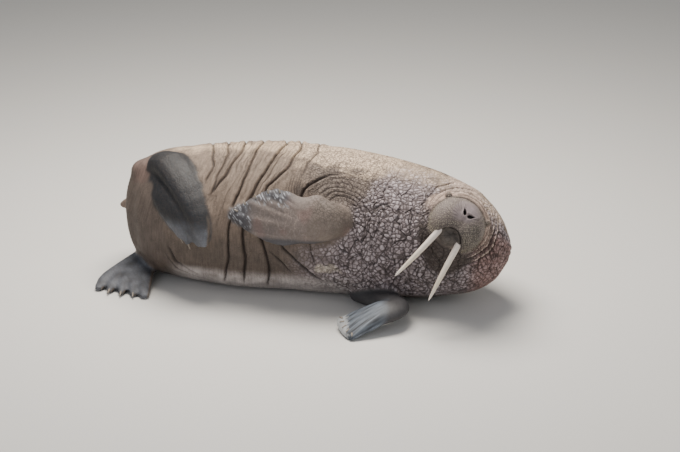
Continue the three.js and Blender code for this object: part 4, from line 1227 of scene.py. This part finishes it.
ivory, tree, shader = new_material("tusk_ivory")
grown = node(tree, "ShaderNodeAttribute", {"attribute_name": "grown"}).outputs["Fac"]
where = node(tree, "ShaderNodeTexCoord").outputs["Object"]
stain = node(tree, "ShaderNodeTexNoise", Vector=where, Scale=28.0, Detail=4.0)
hue = node(tree, "ShaderNodeValToRGB", _0=grown)
hue.color_ramp.elements[0].color = (*linear("#d6cbc4"), 1)
hue.color_ramp.elements[1].color = (*linear("#e8e0d8"), 1)
hue.color_ramp.elements.new(0.12).color = (*linear("#e0d6cf"), 1)
hue.color_ramp.elements.new(0.62).color = (*linear("#dccfba"), 1)
lines = node(tree, "ShaderNodeTexNoise", Vector=where, Scale=170.0, Detail=3.0)
soiled = node(tree, "ShaderNodeMapRange", Value=stain.outputs["Fac"], _1=0.3, _2=0.75, _3=1.04, _4=0.84)
tone = node(tree, "ShaderNodeMixRGB", {"blend_type": "MULTIPLY"}, _0=1.0, _1=hue.outputs[0],
            _2=soiled.outputs[0])
tree.links.new(tone.outputs[0], shader.inputs["Base Color"])
shader.inputs["Roughness"].default_value = 0.38
shader.inputs["IOR"].default_value = 1.54
bump = node(tree, "ShaderNodeBump", Strength=0.35, Distance=0.001, Height=lines.outputs["Fac"])
tree.links.new(bump.outputs[0], shader.inputs["Normal"])

for side, which in ((-1, "right"), (1, "left")):
    line = spline([on_side(p, side) for p in TUSK_LINE], TUSK_RINGS)
    wide = spline([[w, h, 0] for w, h in zip(TUSK_WIDE, TUSK_HIGH)], TUSK_RINGS)
    rings = []
    for k in range(TUSK_RINGS):
        way = line[min(k + 1, TUSK_RINGS - 1)] - line[max(k - 1, 0)]
        way /= np.linalg.norm(way)
        sideways = np.cross(way, [1, 0, 0])
        sideways /= np.linalg.norm(sideways)
        ahead = np.cross(sideways, way)
        swell = 1 + 0.012 * math.sin(k * 0.9)
        rings.append([
            line[k] + (math.cos(t) * wide[k, 0] * sideways + math.sin(t) * wide[k, 1] * ahead) * swell * 0.97
            for t in np.linspace(0, 2 * math.pi, TUSK_SIDES, endpoint=False)
        ])
    points, faces = loft([np.array(r) for r in rings])
    tusk = make_mesh("tusk_ivory_" + which, from_head(points), faces)
    share = np.repeat(np.linspace(0, 1, TUSK_RINGS), TUSK_SIDES)
    store(tusk, "grown", np.concatenate([share, [0, 1]]))
    tusk.data.materials.append(ivory)
    tusk.data.polygons.foreach_set("use_smooth", [True] * len(tusk.data.polygons))
    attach(tusk, "root")
    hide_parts("tusk_" + which)
    print("tusk", which, "faces", len(faces))

# %% [markdown]
# ## Eyeballs
# The eye is small for so large an animal, dark brown and wet. A smooth ball inside the
# lids shows only through the slit; a little coat of clear water on it catches the light.

# %% Eyeballs
def two_toned(name, scale, detail, dark, light, finish):
    """A material that wavers between two colours, with its finish by socket name."""
    made, tree, shader = new_material(name)
    where = node(tree, "ShaderNodeTexCoord").outputs["Object"]
    grown_in = node(tree, "ShaderNodeTexNoise", Vector=where, Scale=scale, Detail=detail)
    hue = node(tree, "ShaderNodeValToRGB", _0=grown_in.outputs["Fac"])
    hue.color_ramp.elements[0].color = (*linear(dark), 1)
    hue.color_ramp.elements[1].color = (*linear(light), 1)
    tree.links.new(hue.outputs[0], shader.inputs["Base Color"])
    for socket, value in finish.items():
        shader.inputs[socket].default_value = value
    return made


wet_eye = two_toned("wet_eye", 300.0, 2.0, "#120a07", "#3a2418",
                    {"Roughness": 0.08, "IOR": 1.376, "Coat Weight": 0.6})

for side, which in ((-1, "right"), (1, "left")):
    eye_net = bmesh.new()
    bmesh.ops.create_uvsphere(eye_net, u_segments=40, v_segments=24, radius=EYE_RADIUS)
    eye_mesh = bpy.data.meshes.new("eyeball_" + which)
    bmesh.ops.translate(eye_net, verts=eye_net.verts, vec=Vector(from_head(on_side(EYE_PLACE, side))))
    eye_net.to_mesh(eye_mesh)
    eye_net.free()
    eye_mesh.polygons.foreach_set("use_smooth", [True] * len(eye_mesh.polygons))
    eyeball = bpy.data.objects.new("eyeball_" + which, eye_mesh)
    bpy.context.scene.collection.objects.link(eyeball)
    eye_mesh.materials.append(wet_eye)
    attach(eyeball, "root")
    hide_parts("eye_" + which)
    print("eyeball", which, "at", [round(v, 3) for v in from_head(on_side(EYE_PLACE, side))])

# %% [markdown]
# ## Claws
# Small blunt claws of dark horn sit on the flippers, back from the skin's edge. Each is
# a short bent cone set a little into the hide.

# %% Claws
HIND_CLAWS = [((-1.014, -0.444, 0.432), (0.37, -0.40, -0.84)),
              ((-1.066, -0.410, 0.458), (0.45, -0.55, -0.71)),
              ((-1.398, -0.372, 0.030), (0.02, -0.99, -0.10)),
              ((-1.480, -0.350, 0.030), (-0.09, -0.98, -0.10)),
              ((-1.562, -0.312, 0.030), (-0.20, -0.97, -0.10))]

horn = two_toned("claw_horn", 120.0, 3.0, "#4a423c", "#a39788", {"Roughness": 0.45, "IOR": 1.55})


def bent_cone(foot, way, length, thick, bend, sides=10, rings=7):
    """A closed cone that bends, from its foot along a way."""
    way = np.array(way) / np.linalg.norm(way)
    bend = np.array(bend, float)
    sideways = np.cross(way, bend + [1e-3, 2e-3, 1e-3])
    sideways /= np.linalg.norm(sideways)
    other = np.cross(sideways, way)
    out = []
    for k in range(rings):
        t = k / (rings - 1)
        centre = np.array(foot) + way * length * t + bend * length * t * t
        size = thick * max(math.sqrt(max(1 - t ** 1.5, 0)), 0.06)
        out.append(np.array([
            centre + size * (math.cos(a) * sideways + math.sin(a) * other)
            for a in np.linspace(0, 2 * math.pi, sides, endpoint=False)
        ]))
    return out


def joined(name, cones):
    """One mesh object from many lofts."""
    all_points, all_faces, start = [], [], 0
    for rings in cones:
        points, faces = loft(rings)
        all_points.append(points)
        all_faces += [tuple(v + start for v in f) for f in faces]
        start += len(points)
    made = make_mesh(name, np.concatenate(all_points), all_faces)
    made.data.polygons.foreach_set("use_smooth", [True] * len(all_faces))
    return made


for name, claws, length, thick in (("claws_fore_right", CLAWS_RIGHT, 0.026, 0.0065),
                                   ("claws_fore_left", CLAWS_LEFT, 0.026, 0.0065),
                                   ("claws_hind", HIND_CLAWS, 0.050, 0.0075)):
    cones = [bent_cone(np.array(p) - np.array(w) * 0.008, w, length + 0.008, thick, (0, 0, -0.12)) for p,
             w in claws]
    piece = joined(name, cones)
    piece.data.materials.append(horn)
    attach(piece, "root")
    print(name, len(claws))

# %% [markdown]
# ## Whiskers
# Several hundred stiff bristles stand on the two pads, in rows, short in the middle and
# longer towards the lip. They are rooted on the finished skin, spread by keeping a least
# distance between roots, and bend a little downwards.

# %% Whiskers
WHISKER_COUNT = 620
WHISKER_SPACING = 0.0105
WHISKER_THICK = 0.0009

rng = random.Random(7)
places = coordinates(skin)
facing = normals(skin)
head_places = to_head(places)
candidates = np.nonzero(bristled > 0.6)[0].tolist()
rng.shuffle(candidates)
chosen, grid = [], {}
for i in candidates:
    spot_place = head_places[i]
    cell = tuple((spot_place / WHISKER_SPACING).astype(int))
    near = [grid[key] for key in ((cell[0] + a, cell[1] + b, cell[2] + c)
            for a in (-1, 0, 1) for b in (-1, 0, 1) for c in (-1, 0, 1)) if key in grid]
    if all(np.linalg.norm(spot_place - head_places[j]) > WHISKER_SPACING for j in near):
        grid[cell] = i
        chosen.append(i)
    if len(chosen) >= WHISKER_COUNT:
        break
print("whisker roots", len(chosen))

# %% Bristles
cones, patches = [], []
for i in chosen:
    f, l, u = head_places[i]
    low = min(max((0.08 - u) / 0.2, 0), 1)
    length = 0.006 + 0.012 * low * rng.uniform(0.7, 1.3)
    droop = -CROWN * (0.25 + 0.35 * low) + LEFT * 0.15 * np.sign(l)
    way = facing[i] + NOSE * 0.25 + droop + np.array([rng.uniform(-0.12, 0.12) for _ in range(3)])
    cones.append(bent_cone(places[i] - facing[i] * 0.003, way, length + 0.003, WHISKER_THICK,
                           -CROWN * 0.35, sides=5, rings=4))
    turn = math.atan2(l, u)
    opening_angle = math.atan2(math.hypot(l, u), f + 0.10)
    patches.append((0.5 + 0.28 * opening_angle * math.sin(turn), 0.5 + 0.28 * opening_angle * math.cos(turn)))
whiskers = joined("whiskers", cones)
print("whiskers", len(chosen), "triangles", sum(len(p.vertices) - 2 for p in whiskers.data.polygons))

points_each = len(whiskers.data.vertices) // len(chosen)
within = np.arange(points_each)
lay_map(whiskers, np.array(patches), 0.0015
        * np.stack([np.cos(within * 1.256), within / points_each * 2 - 1], 1))

# %% Finish of the bristles
bristle = two_toned("whisker_bristle", 90.0, 1.0, "#6f685b", "#b0a692", {"Roughness": 0.4})
whiskers.data.materials.append(bristle)
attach(whiskers, "root")
